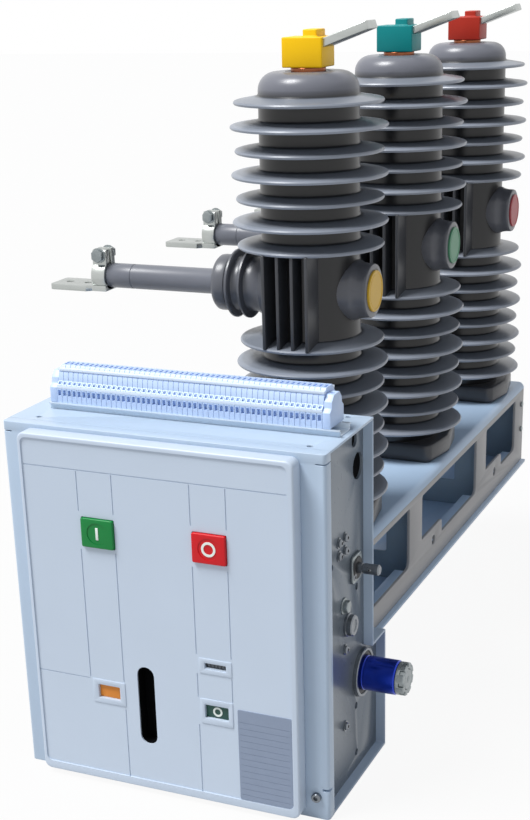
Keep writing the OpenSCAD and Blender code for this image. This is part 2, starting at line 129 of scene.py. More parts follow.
def place(axis: Axis, u: float, v: float, w: float) -> Vector:
    """A point in metres from two places across an axis and one along it.

    Args:
        axis: the axis that w runs along.
        u: first place across the axis, in millimetres.
        v: second place across the axis.
        w: place along the axis.

    Returns:
        The point.
    """
    if axis is Axis.X:
        return Vector((w, u, v)) * MM
    if axis is Axis.Y:
        return Vector((u, w, v)) * MM
    return Vector((u, v, w)) * MM


def take(*pieces: MeshObject) -> None:
    """Selects these pieces only, with the first one active.

    Args:
        pieces: the pieces to select.
    """
    if bpy.context.object and bpy.context.object.mode != "OBJECT":
        bpy.ops.object.mode_set(mode="OBJECT")
    bpy.ops.object.select_all(action="DESELECT")
    for piece in pieces:
        piece.select_set(True)
    if pieces:
        bpy.context.view_layer.objects.active = pieces[0]


def settle() -> MeshObject:
    """Writes the active object's place, turn and scale into its mesh.

    Returns:
        The active object.
    """
    bpy.ops.object.transform_apply(location=True, rotation=True, scale=True)
    return bpy.context.object


def block(low: Triple, high: Triple) -> MeshObject:
    """A cuboid between two corners.

    Args:
        low: lowest corner.
        high: highest corner.

    Returns:
        The new object.
    """
    take()
    middle = [(a + b) / 2 * MM for a, b in zip(low, high)]
    size = [(b - a) * MM for a, b in zip(low, high)]
    bpy.ops.mesh.primitive_cube_add(size=1, location=middle, scale=size)
    return settle()


def rod(axis: Axis, centre: Pair, start: float, end: float, radius: float, sides: int = 40) -> MeshObject:
    """A cylinder or prism along an axis.

    Args:
        axis: its direction.
        centre: the two places across the axis.
        start: where it starts along the axis.
        end: where it ends.
        radius: its radius.
        sides: how many sides it has.

    Returns:
        The new object.
    """
    take()
    turn = {Axis.X: (0, math.pi / 2, 0), Axis.Y: (math.pi / 2, 0, 0), Axis.Z: (0, 0, 0)}[axis]
    bpy.ops.mesh.primitive_cylinder_add(
        vertices=sides,
        radius=radius * MM,
        depth=(end - start) * MM,
        location=place(axis, *centre, (start + end) / 2),
        rotation=turn,
    )
    return settle()


def chain(points: list[Vector]) -> MeshObject:
    """Vertices joined by edges, drawn by extruding from one to the next. It stays in edit mode, all selected.

    Args:
        points: the places of the vertices, in metres.

    Returns:
        The new object.
    """
    take()
    bpy.ops.mesh.primitive_plane_add(size=MM, location=points[0])
    line = settle()
    bpy.ops.object.mode_set(mode="EDIT")
    bpy.ops.mesh.select_mode(type="VERT")
    bpy.ops.mesh.select_all(action="SELECT")
    bpy.ops.mesh.merge(type="CENTER")
    for here, there in zip(points, points[1:]):
        bpy.ops.mesh.extrude_vertices_move(
            TRANSFORM_OT_translate={"value": there - here, "orient_type": "GLOBAL"}
        )
    bpy.ops.mesh.select_all(action="SELECT")
    bpy.ops.mesh.remove_doubles(threshold=MM / 1000)
    return line


def close_up() -> None:
    """Merges doubles, turns the faces outwards and leaves edit mode."""
    bpy.ops.mesh.select_all(action="SELECT")
    bpy.ops.mesh.remove_doubles(threshold=MM / 1000)
    bpy.ops.mesh.normals_make_consistent(inside=False)
    bpy.ops.object.mode_set(mode="OBJECT")


def plate(axis: Axis, outline: list[Pair], start: float, end: float) -> MeshObject:
    """An outline drawn out along an axis.

    Args:
        axis: the direction of its thickness.
        outline: the corners across the axis, in order.
        start: where it starts along the axis.
        end: where it ends.

    Returns:
        The new object.
    """
    points = [place(axis, u, v, start) for u, v in [*outline, outline[0]]]
    made = chain(points)
    bpy.ops.mesh.edge_face_add()
    step = Vector(axis.value) * (end - start) * MM
    bpy.ops.mesh.extrude_region_move(TRANSFORM_OT_translate={"value": step, "orient_type": "GLOBAL"})
    close_up()
    return made


def turned(axis: Axis, centre: Pair, profile: list[Pair], steps: int = 64) -> MeshObject:
    """A profile spun once round an axis.

    Args:
        axis: the axis of the turning.
        centre: the two places of the axis.
        profile: pairs of radius and place along the axis.
        steps: how many steps a full turn has.

    Returns:
        The new object.
    """
    made = chain([place(axis, centre[0] + r, centre[1], w) for r, w in profile])
    bpy.ops.mesh.spin(
        steps=steps, angle=2 * math.pi, center=place(axis, *centre, 0), axis=axis.value
    )
    close_up()
    return made


def modify(piece: MeshObject, kind: str, **settings: object) -> None:
    """Adds a modifier, sets it and applies it.

    Args:
        piece: the object to change.
        kind: the modifier's type.
        settings: its settings by name.
    """
    take(piece)
    bpy.ops.object.modifier_add(type=kind)
    modifier = piece.modifiers[-1]
    for name, value in settings.items():
        setattr(modifier, name, value)
    bpy.ops.object.modifier_apply(modifier=modifier.name)


def join(pieces: list[MeshObject]) -> MeshObject:
    """Joins pieces into the first of them.

    Args:
        pieces: what is joined.

    Returns:
        The joined object.
    """
    take(*pieces)
    if len(pieces) > 1:
        bpy.ops.object.join()
    return bpy.context.object


def cut(piece: MeshObject, cutters: list[MeshObject]) -> MeshObject:
    """Takes shapes that stand clear of each other out of a piece.

    Args:
        piece: the piece to cut.
        cutters: the shapes, which are used up.

    Returns:
        The piece.
    """
    cutter = join(cutters)
    modify(piece, "BOOLEAN", object=cutter, operation="DIFFERENCE", solver="EXACT")
    take(cutter)
    bpy.ops.object.delete()
    return piece


def fuse(piece: MeshObject, other: MeshObject) -> MeshObject:
    """Unites another shape with a piece.

    Args:
        piece: the piece that grows.
        other: the shape, which is used up.

    Returns:
        The piece.
    """
    modify(piece, "BOOLEAN", object=other, operation="UNION", solver="EXACT")
    take(other)
    bpy.ops.object.delete()
    return piece


def soften(piece: MeshObject, width: float, segments: int = 3, angle: float = 30) -> MeshObject:
    """Rounds the sharp edges of a piece.

    Args:
        piece: the piece.
        width: width of the rounding.
        segments: steps of the rounding.
        angle: least angle of an edge that is rounded, in degrees.

    Returns:
        The piece.
    """
    modify(
        piece,
        "BEVEL",
        width=width * MM,
        segments=segments,
        limit_method="ANGLE",
        angle_limit=math.radians(angle),
    )
    return piece


def again(piece: MeshObject, shift: Triple) -> MeshObject:
    """A copy with its own mesh, moved by a shift.

    Args:
        piece: what is copied.
        shift: the move.

    Returns:
        The copy.
    """
    take(piece)
    bpy.ops.object.duplicate(linked=False)
    bpy.ops.transform.translate(value=Vector(shift) * MM)
    return settle()


def arc(centre: Pair, radius: float, first: float, last: float, steps: int = 6) -> list[Pair]:
    """Points on an arc.

    Args:
        centre: centre of the arc.
        radius: its radius.
        first: first angle in degrees.
        last: last angle.
        steps: number of steps.

    Returns:
        The points, both ends included.
    """
    angles = [math.radians(first + (last - first) * i / steps) for i in range(steps + 1)]
    return [(centre[0] + radius * math.cos(a), centre[1] + radius * math.sin(a)) for a in angles]


def rounded(low: Pair, high: Pair, radius: float, steps: int = 6) -> list[Pair]:
    """Outline of a rectangle with rounded corners.

    Args:
        low: lowest corner.
        high: highest corner.
        radius: radius of its corners.
        steps: steps of each corner.

    Returns:
        The outline.
    """
    u0, v0, u1, v1 = low[0] + radius, low[1] + radius, high[0] - radius, high[1] - radius
    return [
        *arc((u1, v1), radius, 0, 90, steps),
        *arc((u0, v1), radius, 90, 180, steps),
        *arc((u0, v0), radius, 180, 270, steps),
        *arc((u1, v0), radius, 270, 360, steps),
    ]


# ---------------------------------------------------------------- finishes


def linear(code: str) -> tuple[float, float, float, float]:
    """Linear colour of an sRGB hex value.

    Args:
        code: six hex digits after a hash.

    Returns:
        Red, green, blue and alpha.
    """
    parts = [int(code[i : i + 2], 16) / 255 for i in (1, 3, 5)]
    red, green, blue = (c / 12.92 if c <= 0.04045 else ((c + 0.055) / 1.055) ** 2.4 for c in parts)
    return red, green, blue, 1.0


def add_node(tree: bpy.types.NodeTree, kind: str, inputs: dict, **settings: object) -> bpy.types.Node:
    """Adds a node with its settings and links.

    Args:
        tree: the node tree.
        kind: the node's type.
        inputs: values or output sockets, by input name or number.
        settings: the node's own settings.

    Returns:
        The node.
    """
    made = tree.nodes.new(kind)
    for name, value in settings.items():
        setattr(made, name, value)
    for name, value in inputs.items():
        if isinstance(value, bpy.types.NodeSocket):
            tree.links.new(value, made.inputs[name])
        else:
            made.inputs[name].default_value = value
    return made


@dataclass(frozen=True)
class Finish:
    """A surface: its two close colours, its gloss and the grain that breaks both up."""

    name: str
    color: str
    shade: str
    grain: float
    roughness: float = 0.4
    swing: float = 0.08
    metallic: float = 0.0
    ior: float = 1.5
    coat: float = 0.0
    relief: float = 0.02
    relief_grain: float = 1.5
    stretch: Triple = (1.0, 1.0, 1.0)

    def paint(self, tree: bpy.types.NodeTree, coords: bpy.types.NodeSocket) -> bpy.types.NodeSocket:
        """Colour of the surface: the two colours mixed by a soft grain.

        Args:
            tree: the material's nodes.
            coords: the object coordinates.

        Returns:
            The colour socket.
        """
        grain = add_node(
            tree, "ShaderNodeTexNoise", {"Vector": coords, "Scale": 1 / (self.grain * MM), "Detail": 4.0}
        )
        mixed = add_node(
            tree,
            "ShaderNodeMix",
            {0: grain.outputs["Fac"], 6: linear(self.color), 7: linear(self.shade)},
            data_type="RGBA",
        )
        return mixed.outputs[2]

    def material(self) -> bpy.types.Material:
        """The material of this finish, made once."""
        known = bpy.data.materials.get(self.name)
        if known:
            return known
        made = bpy.data.materials.new(self.name)
        made.use_nodes = True
        tree = made.node_tree
        shader = tree.nodes["Principled BSDF"]
        coords = add_node(tree, "ShaderNodeTexCoord", {}).outputs["Object"]
        drawn = add_node(tree, "ShaderNodeMapping", {"Vector": coords, "Scale": self.stretch}).outputs[0]
        fine = add_node(
            tree,
            "ShaderNodeTexNoise",
            {"Vector": drawn, "Scale": 1 / (self.relief_grain * MM), "Detail": 3.0},
        )
        gloss = add_node(
            tree,
            "ShaderNodeMapRange",
            {0: fine.outputs["Fac"], 3: self.roughness - self.swing, 4: self.roughness + self.swing},
        )
        bump = add_node(
            tree,
            "ShaderNodeBump",
            {"Height": fine.outputs["Fac"], "Strength": BUMP_STRENGTH, "Distance": self.relief * MM},
        )
        tree.links.new(self.paint(tree, drawn), shader.inputs["Base Color"])
        tree.links.new(gloss.outputs[0], shader.inputs["Roughness"])
        tree.links.new(bump.outputs["Normal"], shader.inputs["Normal"])
        shader.inputs["Metallic"].default_value = self.metallic
        shader.inputs["IOR"].default_value = self.ior
        shader.inputs["Coat Weight"].default_value = self.coat
        shader.inputs["Coat Roughness"].default_value = COAT_ROUGHNESS
        return made


@dataclass(frozen=True)
class PoleResin(Finish):
    """Cast epoxy, darkened near the column with painted shade from the sheds, and paled at the rims with a
    painted highlight of the sky's reflection.
    """

    # Painted shade: near-black colour close to the column, where the sheds shade it
    deep: str = "#131417"
    painted_shade_r: Pair = (55.2, 61.0)
    # Painted highlight: a paler colour at the shed rims that stands for the sky's reflection
    rim: str = "#8B929E"
    painted_highlight_r: Pair = (79.5, 82.5)
    # The cap's own colour, which covers the painted shade at the top of the pole
    cap: str = "#6F717A"
    cap_z: Pair = (618.0, 625.0)
    pitch: float = 300.0

    def paint(self, tree: bpy.types.NodeTree, coords: bpy.types.NodeSocket) -> bpy.types.NodeSocket:
        """Colour by the distance from the axis of the nearest pole.

        Args:
            tree: the material's nodes.
            coords: the object coordinates.

        Returns:
            The colour socket.
        """
        base = super().paint(tree, coords)
        parts = add_node(tree, "ShaderNodeSeparateXYZ", {0: coords})
        half = self.pitch / 2 * MM
        along = add_node(tree, "ShaderNodeMath", {0: parts.outputs["Y"], 1: half, 2: -half}, operation="WRAP")
        flat = add_node(tree, "ShaderNodeCombineXYZ", {0: parts.outputs["X"], 1: along.outputs[0]})
        length = add_node(tree, "ShaderNodeVectorMath", {0: flat.outputs[0]}, operation="LENGTH")
        radius, height = length.outputs["Value"], parts.outputs["Z"]
        # Starts from the painted shade, then the base colour away from the column, the painted highlight at the
        # rims and the cap's colour at the top
        color = linear(self.deep)
        for value, (start, end), curve, over in (
            (radius, self.painted_shade_r, "SMOOTHSTEP", base),
            (radius, self.painted_highlight_r, "LINEAR", linear(self.rim)),
            (height, self.cap_z, "LINEAR", linear(self.cap)),
        ):
            share = add_node(
                tree, "ShaderNodeMapRange", {0: value, 1: start * MM, 2: end * MM}, interpolation_type=curve
            )
            mixed = add_node(
                tree, "ShaderNodeMix", {0: share.outputs[0], 6: color, 7: over}, data_type="RGBA"
            )
            color = mixed.outputs[2]
        return color


# Polyester powder coat, sprayed and baked: a fine orange peel that spreads the sky's reflection
POWDER_COAT = Finish(
    "powder_coat_grey_blue", "#B7C9DD", "#B1C3D6", 60, 0.36, 0.05, relief=0.03, relief_grain=1.8
)
# Zinc-coated sheet of the recessed side walls, which mirrors its surroundings softly; its darker grey is
# painted shade of the walls turned away from the light
WALL_ZINC_PAINTED_SHADE = Finish(
    "galvanised_sheet_painted_shade", "#747E89", "#69727C", 35, 0.3, 0.07,
    metallic=0.35, relief=0.02, stretch=(1.0, 1.0, 0.15),
)
# The same coat on the folded beam, a little duller where it lies in shade
BEAM_COAT = Finish("powder_coat_beam", "#AEC6E0", "#A6BCD4", 80, 0.4, 0.06, relief=0.03, relief_grain=1.8)
# The same coat on the upright beam sides, greyer and warmer: painted shade of the sides and a painted
# reflection of their warm surroundings
BEAM_SIDE_PAINTED_SHADE = Finish("powder_coat_beam_side_painted_shade", "#A9A8A8", "#9D9C9D", 45, 0.46, 0.06, relief=0.03)
# Primer inside the beam, a flat grey-blue
INNER_COAT = Finish("primer_inside", "#90A4B4", "#8294A3", 60, 0.6, relief=0.02)
# Cast epoxy of the sheds and column, darker towards the column with painted shade and paler at the rims with a
# painted highlight
POLE_EPOXY = PoleResin("cast_epoxy_pole", "#7D838D", "#747A84", 30, 0.31, 0.06, relief=0.02, relief_grain=2.5)
# The same epoxy on collars and bosses
CAP_EPOXY = Finish("cast_epoxy_cap", "#64666D", "#5B5D63", 25, 0.32, 0.06, relief=0.02, relief_grain=2.5)
# The same epoxy on the ribs and feet, dark grey with painted shade where the sheds shade them
EPOXY_PAINTED_SHADE = Finish("cast_epoxy_painted_shade", "#3D3F44", "#323438", 25, 0.36, 0.06, relief=0.02, relief_grain=2.5)
# Shrunk-on sleeve of the contact arms: a smooth lighter grey with a satin sheen
ARM_EPOXY = Finish("epoxy_arm", "#6F727B", "#676A73", 20, 0.36, 0.05, relief=0.015)
# Tin plate on copper: soft bright metal with fine roll marks
TIN_PLATE = Finish(
    "tin_plated_copper", "#C6CAC8", "#A9ADAA", 8, 0.34, 0.08,
    metallic=1.0, relief=0.01, stretch=(0.2, 1.0, 1.0),
)
# Zinc plate, cooler and more mottled
ZINC_PLATE = Finish("zinc_plated_steel", "#A4ABAD", "#7C8385", 5, 0.34, 0.1, metallic=1.0, relief=0.01)
# Bright copper of the stub
COPPER = Finish("bright_copper", "#A8694A", "#8B5238", 6, 0.3, 0.08, metallic=1.0, relief=0.01)
# Turned steel with fine rings
TURNED_STEEL = Finish("turned_steel", "#8B9096", "#6B7076", 5, 0.3, 0.08, metallic=1.0, relief=0.01)
# Blackened steel and the dark seal of the bearing
DARK_STEEL = Finish("black_oxide_steel", "#17191C", "#101114", 6, 0.48, 0.08, relief=0.01)
# Anodised aluminium rail, drawn along its length
ALUMINIUM = Finish(
    "anodised_aluminium", "#CFDCE8", "#C2CFDB", 10, 0.36, metallic=0.4, relief=0.01, stretch=(0.05, 1.0, 1.0)
)
# Blue lacquer over the machined drive shaft, glossy with the metal shining through
BLUE_SHAFT = Finish(
    "blue_lacquered_steel", "#0A3BC4", "#072CA0", 8, 0.22, 0.05, metallic=0.8, coat=0.4, relief=0.01
)
# Moulded ABS of the front panel, a pale blue-grey with a satin skin
PANEL_ABS = Finish("abs_panel", "#C6D3E3", "#C0CDDD", 90, 0.38, 0.04, relief=0.012, relief_grain=1.2)
# The same plastic round the windows, a shade darker and duller
BARE_ABS = Finish("abs_panel_field", "#C2CFDF", "#BCC9D9", 90, 0.42, 0.04, relief=0.012, relief_grain=1.2)
# Phase blocks: coloured injection-moulded plastic with a satin skin
YELLOW_PLASTIC = Finish("phase_plastic_yellow", "#FFCC00", "#FAC400", 20, 0.42, ior=1.35, relief=0.01)
GREEN_PLASTIC = Finish("phase_plastic_green", "#008A8C", "#008284", 20, 0.42, ior=1.35, relief=0.01)
RED_PLASTIC = Finish("phase_plastic_red", "#B8301F", "#AC2A1B", 20, 0.42, ior=1.35, relief=0.01)
# Printed foil on the bosses, satin
YELLOW_FOIL = Finish("phase_foil_yellow", "#D9AE22", "#CFA41C", 10, 0.4, relief=0.005)
GREEN_FOIL = Finish("phase_foil_green", "#4C8F6B", "#458663", 10, 0.4, relief=0.005)
RED_FOIL = Finish("phase_foil_red", "#AE4148", "#A53B42", 10, 0.4, relief=0.005)
# Push buttons: coloured ABS, satin, with pale marks let into them
BUTTON_GREEN = Finish("button_plastic_green", "#00803A", "#007835", 15, 0.36, ior=1.4, relief=0.005)
BUTTON_RED = Finish("button_plastic_red", "#D00A18", "#C60815", 15, 0.36, ior=1.4, relief=0.005)
MARK_WHITE = Finish("inlaid_white", "#EAF2EC", "#E2EAE4", 10, 0.4, relief=0.005)
# Indicator cards behind their windows
FLAG_ORANGE = Finish("printed_card_orange", "#E58E30", "#DD8528", 10, 0.5, relief=0.005)
FLAG_GREEN = Finish("printed_card_green", "#1F5046", "#1A473E", 10, 0.5, relief=0.005)
# Counter behind its window: black card and grey acetal drums, with no figures
COUNTER_DARK = Finish("counter_wheels", "#2B2F33", "#222529", 4, 0.4, relief=0.005)
DRUM_GREY = Finish("counter_drum_grey", "#5A6067", "#50565C", 4, 0.45, relief=0.005)
# Rating plate: anodised aluminium printed grey-blue
PLATE_PRINT = Finish("printed_aluminium", "#8996AC", "#828FA5", 12, 0.36, 0.05, relief=0.005)
# Polyamide of the terminals, pale blue-grey and slightly waxy
POLYAMIDE = Finish("polyamide_terminal", "#C6DAFA", "#BCD2F4", 12, 0.42, relief=0.01)
# Blank marker strips of the terminals: the same polyamide, paler
MARKER_STRIP = Finish("marker_strip", "#DFEBFA", "#D6E2F2", 12, 0.45, relief=0.005)
# Painted shadow: matt near-black at the bottom of holes and of the handle slot, where only shade falls, which
# gives back almost no light
SHADOW_BLACK = Finish("painted_shadow_black", "#0C0D0F", "#08090A", 12, 0.8, ior=1.1, relief=0.005)


def smooth(piece: MeshObject, angle: float = 35) -> None:
    """Shades a piece smooth up to an angle.

    Args:
        piece: the piece.
        angle: the angle in degrees.
    """
    take(piece)
    bpy.ops.object.shade_smooth_by_angle(angle=math.radians(angle))


def fit(
    piece: MeshObject,
    name: str,
    finish: Finish,
    body: Body = Body.FRAME,
    nodes: tuple[str, ...] = (),
) -> MeshObject:
    """Names, dresses and mounts a finished piece.

    Args:
        piece: the piece.
        name: its name.
        finish: its surface.
        body: the body it rides on.
        nodes: the frame nodes it stands for.

    Returns:
        The piece.
    """
    smooth(piece)
    piece.name = name
    piece.data.name = name
    piece.data.materials.clear()
    piece.data.materials.append(finish.material())
    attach(piece, body.value)
    if nodes:
        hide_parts(*nodes)
    LOG.info("%s: %d faces", name, len(piece.data.polygons))
    return piece


# ---------------------------------------------------------------- poles


@dataclass
class Pole:
    """The three moulded poles with their contact arms, clamps and heads."""

    column_r: float = 55.0
    wide_r: float = 86.5
    narrow_r: float = 82.0
    shed_pitch: float = 25.6
    lower_top: float = 351.2
    lower_count: int = 8
    upper_top: float = 610.8
    upper_count: int = 7
    cap_round: float = 19.0
    recess_r: float = 25.5
    recess: float = 0.9
    foot_top: float = 154.0
    rib_x: float = -27.2
    rib_t: float = 4.0
    rib_reach: float = 79.5
    rib_pitch: float = 16.8
    collar: tuple[Pair, ...] = (
        (0, -113), (26, -113), (29.5, -112.2), (31.5, -110), (32, -107), (32, -99), (31.2, -96.8),
        (30, -96), (29.5, -94), (31, -92.6), (37.5, -92.2), (39, -91), (39, -89), (37.5, -87.8),
        (31, -87.4), (29.5, -85), (29.5, -79), (31, -76.6), (37.5, -76.2), (39, -75), (39, -73),
        (37.5, -71.8), (31.5, -71.2), (30.5, -68), (31, -62), (34, -55), (38, -50), (38, -30), (0, -30),
    )
    boss: tuple[Pair, ...] = (
        (0, 30), (34.5, 30), (34, 54), (32.4, 57.5), (31, 61), (30.2, 65.5), (30, 70), (30, 72.8),
        (29.4, 74), (28, 74.5), (24.5, 74.5), (24.2, 74.1), (23.2, 74.1), (23, 74.4), (0, 74.4),
    )
    disc: tuple[Pair, ...] = (
        (0, 74.4), (23, 74.4), (23, 76.2), (22.4, 77), (20.8, 77), (20.2, 76.4), (18.6, 76.4),
        (18.2, 76.7), (0, 76.7),
    )
    arm: tuple[Pair, ...] = (
        (0, -100), (15.6, -100), (15.6, -114), (14.5, -116), (14.5, -223.4), (13.9, -224), (13.9, -225.6),
        (14.5, -226.2), (14.5, -256.6), (13.6, -258), (0, -258),
    )
    conductor: tuple[Pair, ...] = ((0, -257), (12.5, -257), (12.5, -274.8), (11.3, -276), (0, -276))
    pitch: float = field(init=False)
    arm_z: float = field(init=False)
    foot_z: Pair = field(init=False)
    cap_top: float = field(init=False)
    clamp_x: Pair = field(init=False)

    def __post_init__(self) -> None:
        """Takes its places from the frame."""
        low, high = cad_box("insulator_2")
        self.foot_z, self.cap_top = (low.z, self.foot_top), high.z
        self.pitch = across("phase_block_3", Axis.X)[0][0]
        self.arm_z = across("arm_2", Axis.X)[0][1]
        self.clamp_x = (cad_box("arm_2")[0].x, cad_box("clamp_2")[1].x)

    def shed(self, r: float, z: float) -> list[Pair]:
        """Profile of one shed from below: fillet, drooping underside, round rim, sloped top, fillet.

        Args:
            r: radius of the rim.
            z: height of the rim.

        Returns:
            Pairs of radius and height.
        """
        root = self.column_r
        return [
            (root, z - 2.4),
            (root + 0.8, z - 0.9),
            (root + 3, z - 0.2),
            (r - 4, z - 2),
            (r - 1.2, z - 1.9),
            (r - 0.2, z - 0.8),
            (r, z + 0.4),
            (r - 1, z + 1.9),
            (r - 3.4, z + 2.7),
            (root + 3.4, z + 6.2),
            (root + 1, z + 7.2),
            (root, z + 8.8),
        ]

    def rows(self) -> list[Pair]:
        """Radius and height of every shed, from the lowest up."""
        rows = [(i, self.lower_top - i * self.shed_pitch) for i in reversed(range(self.lower_count))]
        rows += [(i, self.upper_top - i * self.shed_pitch) for i in reversed(range(self.upper_count))]
        return [(self.wide_r if i % 2 else self.narrow_r, z) for i, z in rows]

    def column(self) -> MeshObject:
        """Column with its sheds and cap, spun from one profile."""
        low, top, r, floor = self.foot_z[0] + 1, self.cap_top, self.cap_round, self.cap_top - self.recess
        profile: list[Pair] = [(0, low), (self.column_r, low)]
        for rim, z in self.rows():
            profile += self.shed(rim, z)
        profile += arc((self.column_r - r, top - r), r, 0, 90, 8)
        profile += [(self.recess_r, top), (self.recess_r - self.recess, floor), (0, floor)]
        return turned(Axis.Z, (0, 0), profile, 96)

    def foot(self) -> MeshObject:
        """Square foot with a shallow ridge on either side and a rounded top edge."""
        x, y, ridge, r = 67.0, 58.0, 74.0, 12.0
        corners = (
            (ridge, 0), *arc((x - r, y - r), r, 20, 90), *arc((r - x, y - r), r, 90, 160),
            (-ridge, 0), *arc((r - x, r - y), r, 200, 270), *arc((x - r, r - y), r, 270, 340),
        )
        return soften(plate(Axis.Z, list(corners), *self.foot_z), 5, 4, 60)

    def ribs(self) -> MeshObject:
        """Four upright ribs between the two rows of sheds."""
        low, high = self.lower_top + 1, self.upper_top - (self.upper_count - 1) * self.shed_pitch - 1
        first = block((self.rib_x, -self.rib_reach, low), (self.rib_x + self.rib_t, self.rib_reach, high))
        soften(first, 1.2, 3)
        return join([first] + [again(first, (i * self.rib_pitch, 0, 0)) for i in (1, 2, 3)])

    def clamp(self) -> MeshObject:
        """Split clamp with two ears, drawn as one section along the arm."""
        ear, slit, outer, inner, top = 11.0, 2.0, 17.5, 12.5, 31.5
        z = self.arm_z
        rest = math.degrees(math.acos(ear / outer))
        gap = math.degrees(math.acos(slit / inner))
        outline = [
            (slit, z + top),
            *arc((ear - 3, z + top - 3), 3, 90, 0, 4),
            *[(y, z + h) for y, h in arc((0, 0), outer, rest, -180 - rest, 24)],
            *arc((3 - ear, z + top - 3), 3, 180, 90, 4),
            (-slit, z + top),
            *[(y, z + h) for y, h in arc((0, 0), inner, 180 - gap, 360 + gap, 24)],
        ]
        return soften(plate(Axis.X, outline, *self.clamp_x), 0.8, 2, 50)

    def palm(self) -> MeshObject:
        """Connection palm, narrower at the clamp, with its two bolt holes."""
        low, high = self.arm_z - 17.5, self.arm_z - 10.5
        outline = [
            (-258, -15), (-258, 15), (-277, 15), (-283, 20),
            *arc((-328, 16), 4, 90, 180, 4), *arc((-328, -16), 4, 180, 270, 4), (-283, -20), (-277, -15),
        ]
        made = plate(Axis.Z, outline, low, high)
        cut(made, [rod(Axis.Z, (x, 0), low - 1, high + 1, 4.5) for x in (-290, -315)])
        return soften(made, 0.7, 2)

    def clamp_bolt(self) -> MeshObject:
        """Cross bolt of the clamp with washers, head and nut."""
        at = (sum(self.clamp_x) / 2, self.arm_z + 24.6)
        head, washer, thread = (8, 6, 0.8, 30), (9, 32, 0.4, 30), (3.9, 24, 0.8, 60)
        parts = []
        for start, end, (radius, sides, edge, angle) in (
            (-17.5, -12.4, head), (-12.4, -11, washer), (-17, 20, thread),
            (11, 12.4, washer), (12.4, 17.8, head),
        ):
            parts.append(soften(rod(Axis.Y, at, start, end, radius, sides), edge, 2, angle))
        return join(parts)

    def phase_block(self) -> MeshObject:
        """Coloured block with its raised part, out of which the top bar rises."""
        low, top = self.cap_top + 4, self.cap_top + 35
        made = block((-23, -19, low), (23, 19, top))
        fuse(made, block((-1, -13, top - 6), (15, 13, top + 7.6)))
        return soften(made, 1.4, 3, 40)

    def top_bar(self) -> MeshObject:
        """Flat bar that rises to the side out of the block."""
        tilt, length, half = math.radians(19.5), 65.0, 4.5
        along = Vector((math.cos(tilt), math.sin(tilt)))
        thick = Vector((-along.y, along.x)) * half
        start = Vector((11.0, self.cap_top + 25))
        end = start + along * length
        corners = [start - thick, end - thick, end + thick, start + thick]
        return soften(plate(Axis.Y, [tuple(c) for c in corners], -15, 15), 1.1, 3)

    def build(self) -> None:
        """Builds one pole at the middle and copies it to the three places."""
        low, high = self.cap_top - self.recess, self.cap_top + 4
        stub = turned(Axis.Z, (0, 0), [(0, low), (19, low), (19, high - 0.8), (18.2, high), (0, high)], 48)
        centre = (0, self.arm_z)
        plastics = (YELLOW_PLASTIC, GREEN_PLASTIC, RED_PLASTIC)
        foils = (YELLOW_FOIL, GREEN_FOIL, RED_FOIL)
        kit = [
            (self.column(), "pole_column", POLE_EPOXY, "epoxy_dark", "insulator"),
            # Foot and ribs take the epoxy darkened with painted shade
            (self.foot(), "pole_foot", EPOXY_PAINTED_SHADE, "epoxy_dark", None),
            (self.ribs(), "pole_ribs", EPOXY_PAINTED_SHADE, "epoxy_dark", None),
            (turned(Axis.X, centre, list(self.collar)), "arm_collar", CAP_EPOXY, "epoxy_dark", None),
            (turned(Axis.X, centre, list(self.boss)), "pole_boss", CAP_EPOXY, "epoxy_dark", None),
            (turned(Axis.X, centre, list(self.arm)), "moulded_arm", ARM_EPOXY, "epoxy_grey", "arm"),
            (turned(Axis.X, centre, list(self.conductor), 40), "conductor_end", TIN_PLATE, "tin_plate", None),
            (self.clamp(), "clamp_ring", TIN_PLATE, "tin_plate", "clamp"),
            (self.palm(), "clamp_palm", TIN_PLATE, "tin_plate", None),
            (self.clamp_bolt(), "clamp_bolt", ZINC_PLATE, "zinc_plate", None),
            (stub, "copper_stub", COPPER, "copper", "stub"),
            (self.phase_block(), "head_block", plastics, "plastic_{}", "phase_block"),
            (self.top_bar(), "head_bar", TIN_PLATE, "tin_plate", "top_bar"),
            (turned(Axis.X, centre, list(self.disc), 48), "boss_disc", foils, "label_{}", "phase_disc"),
        ]
        for piece, name, finish, slot, node in kit:
            finishes = finish if isinstance(finish, tuple) else (finish,) * 3
            copies = (again(piece, (0, -self.pitch, 0)), piece, again(piece, (0, self.pitch, 0)))
            for i, phase in enumerate(("yellow", "green", "red")):
                nodes = (f"{node}_{i + 1}",) if node else ()
                fit(copies[i], f"{name}_{i + 1}", finishes[i], nodes=nodes)


# ---------------------------------------------------------------- beam


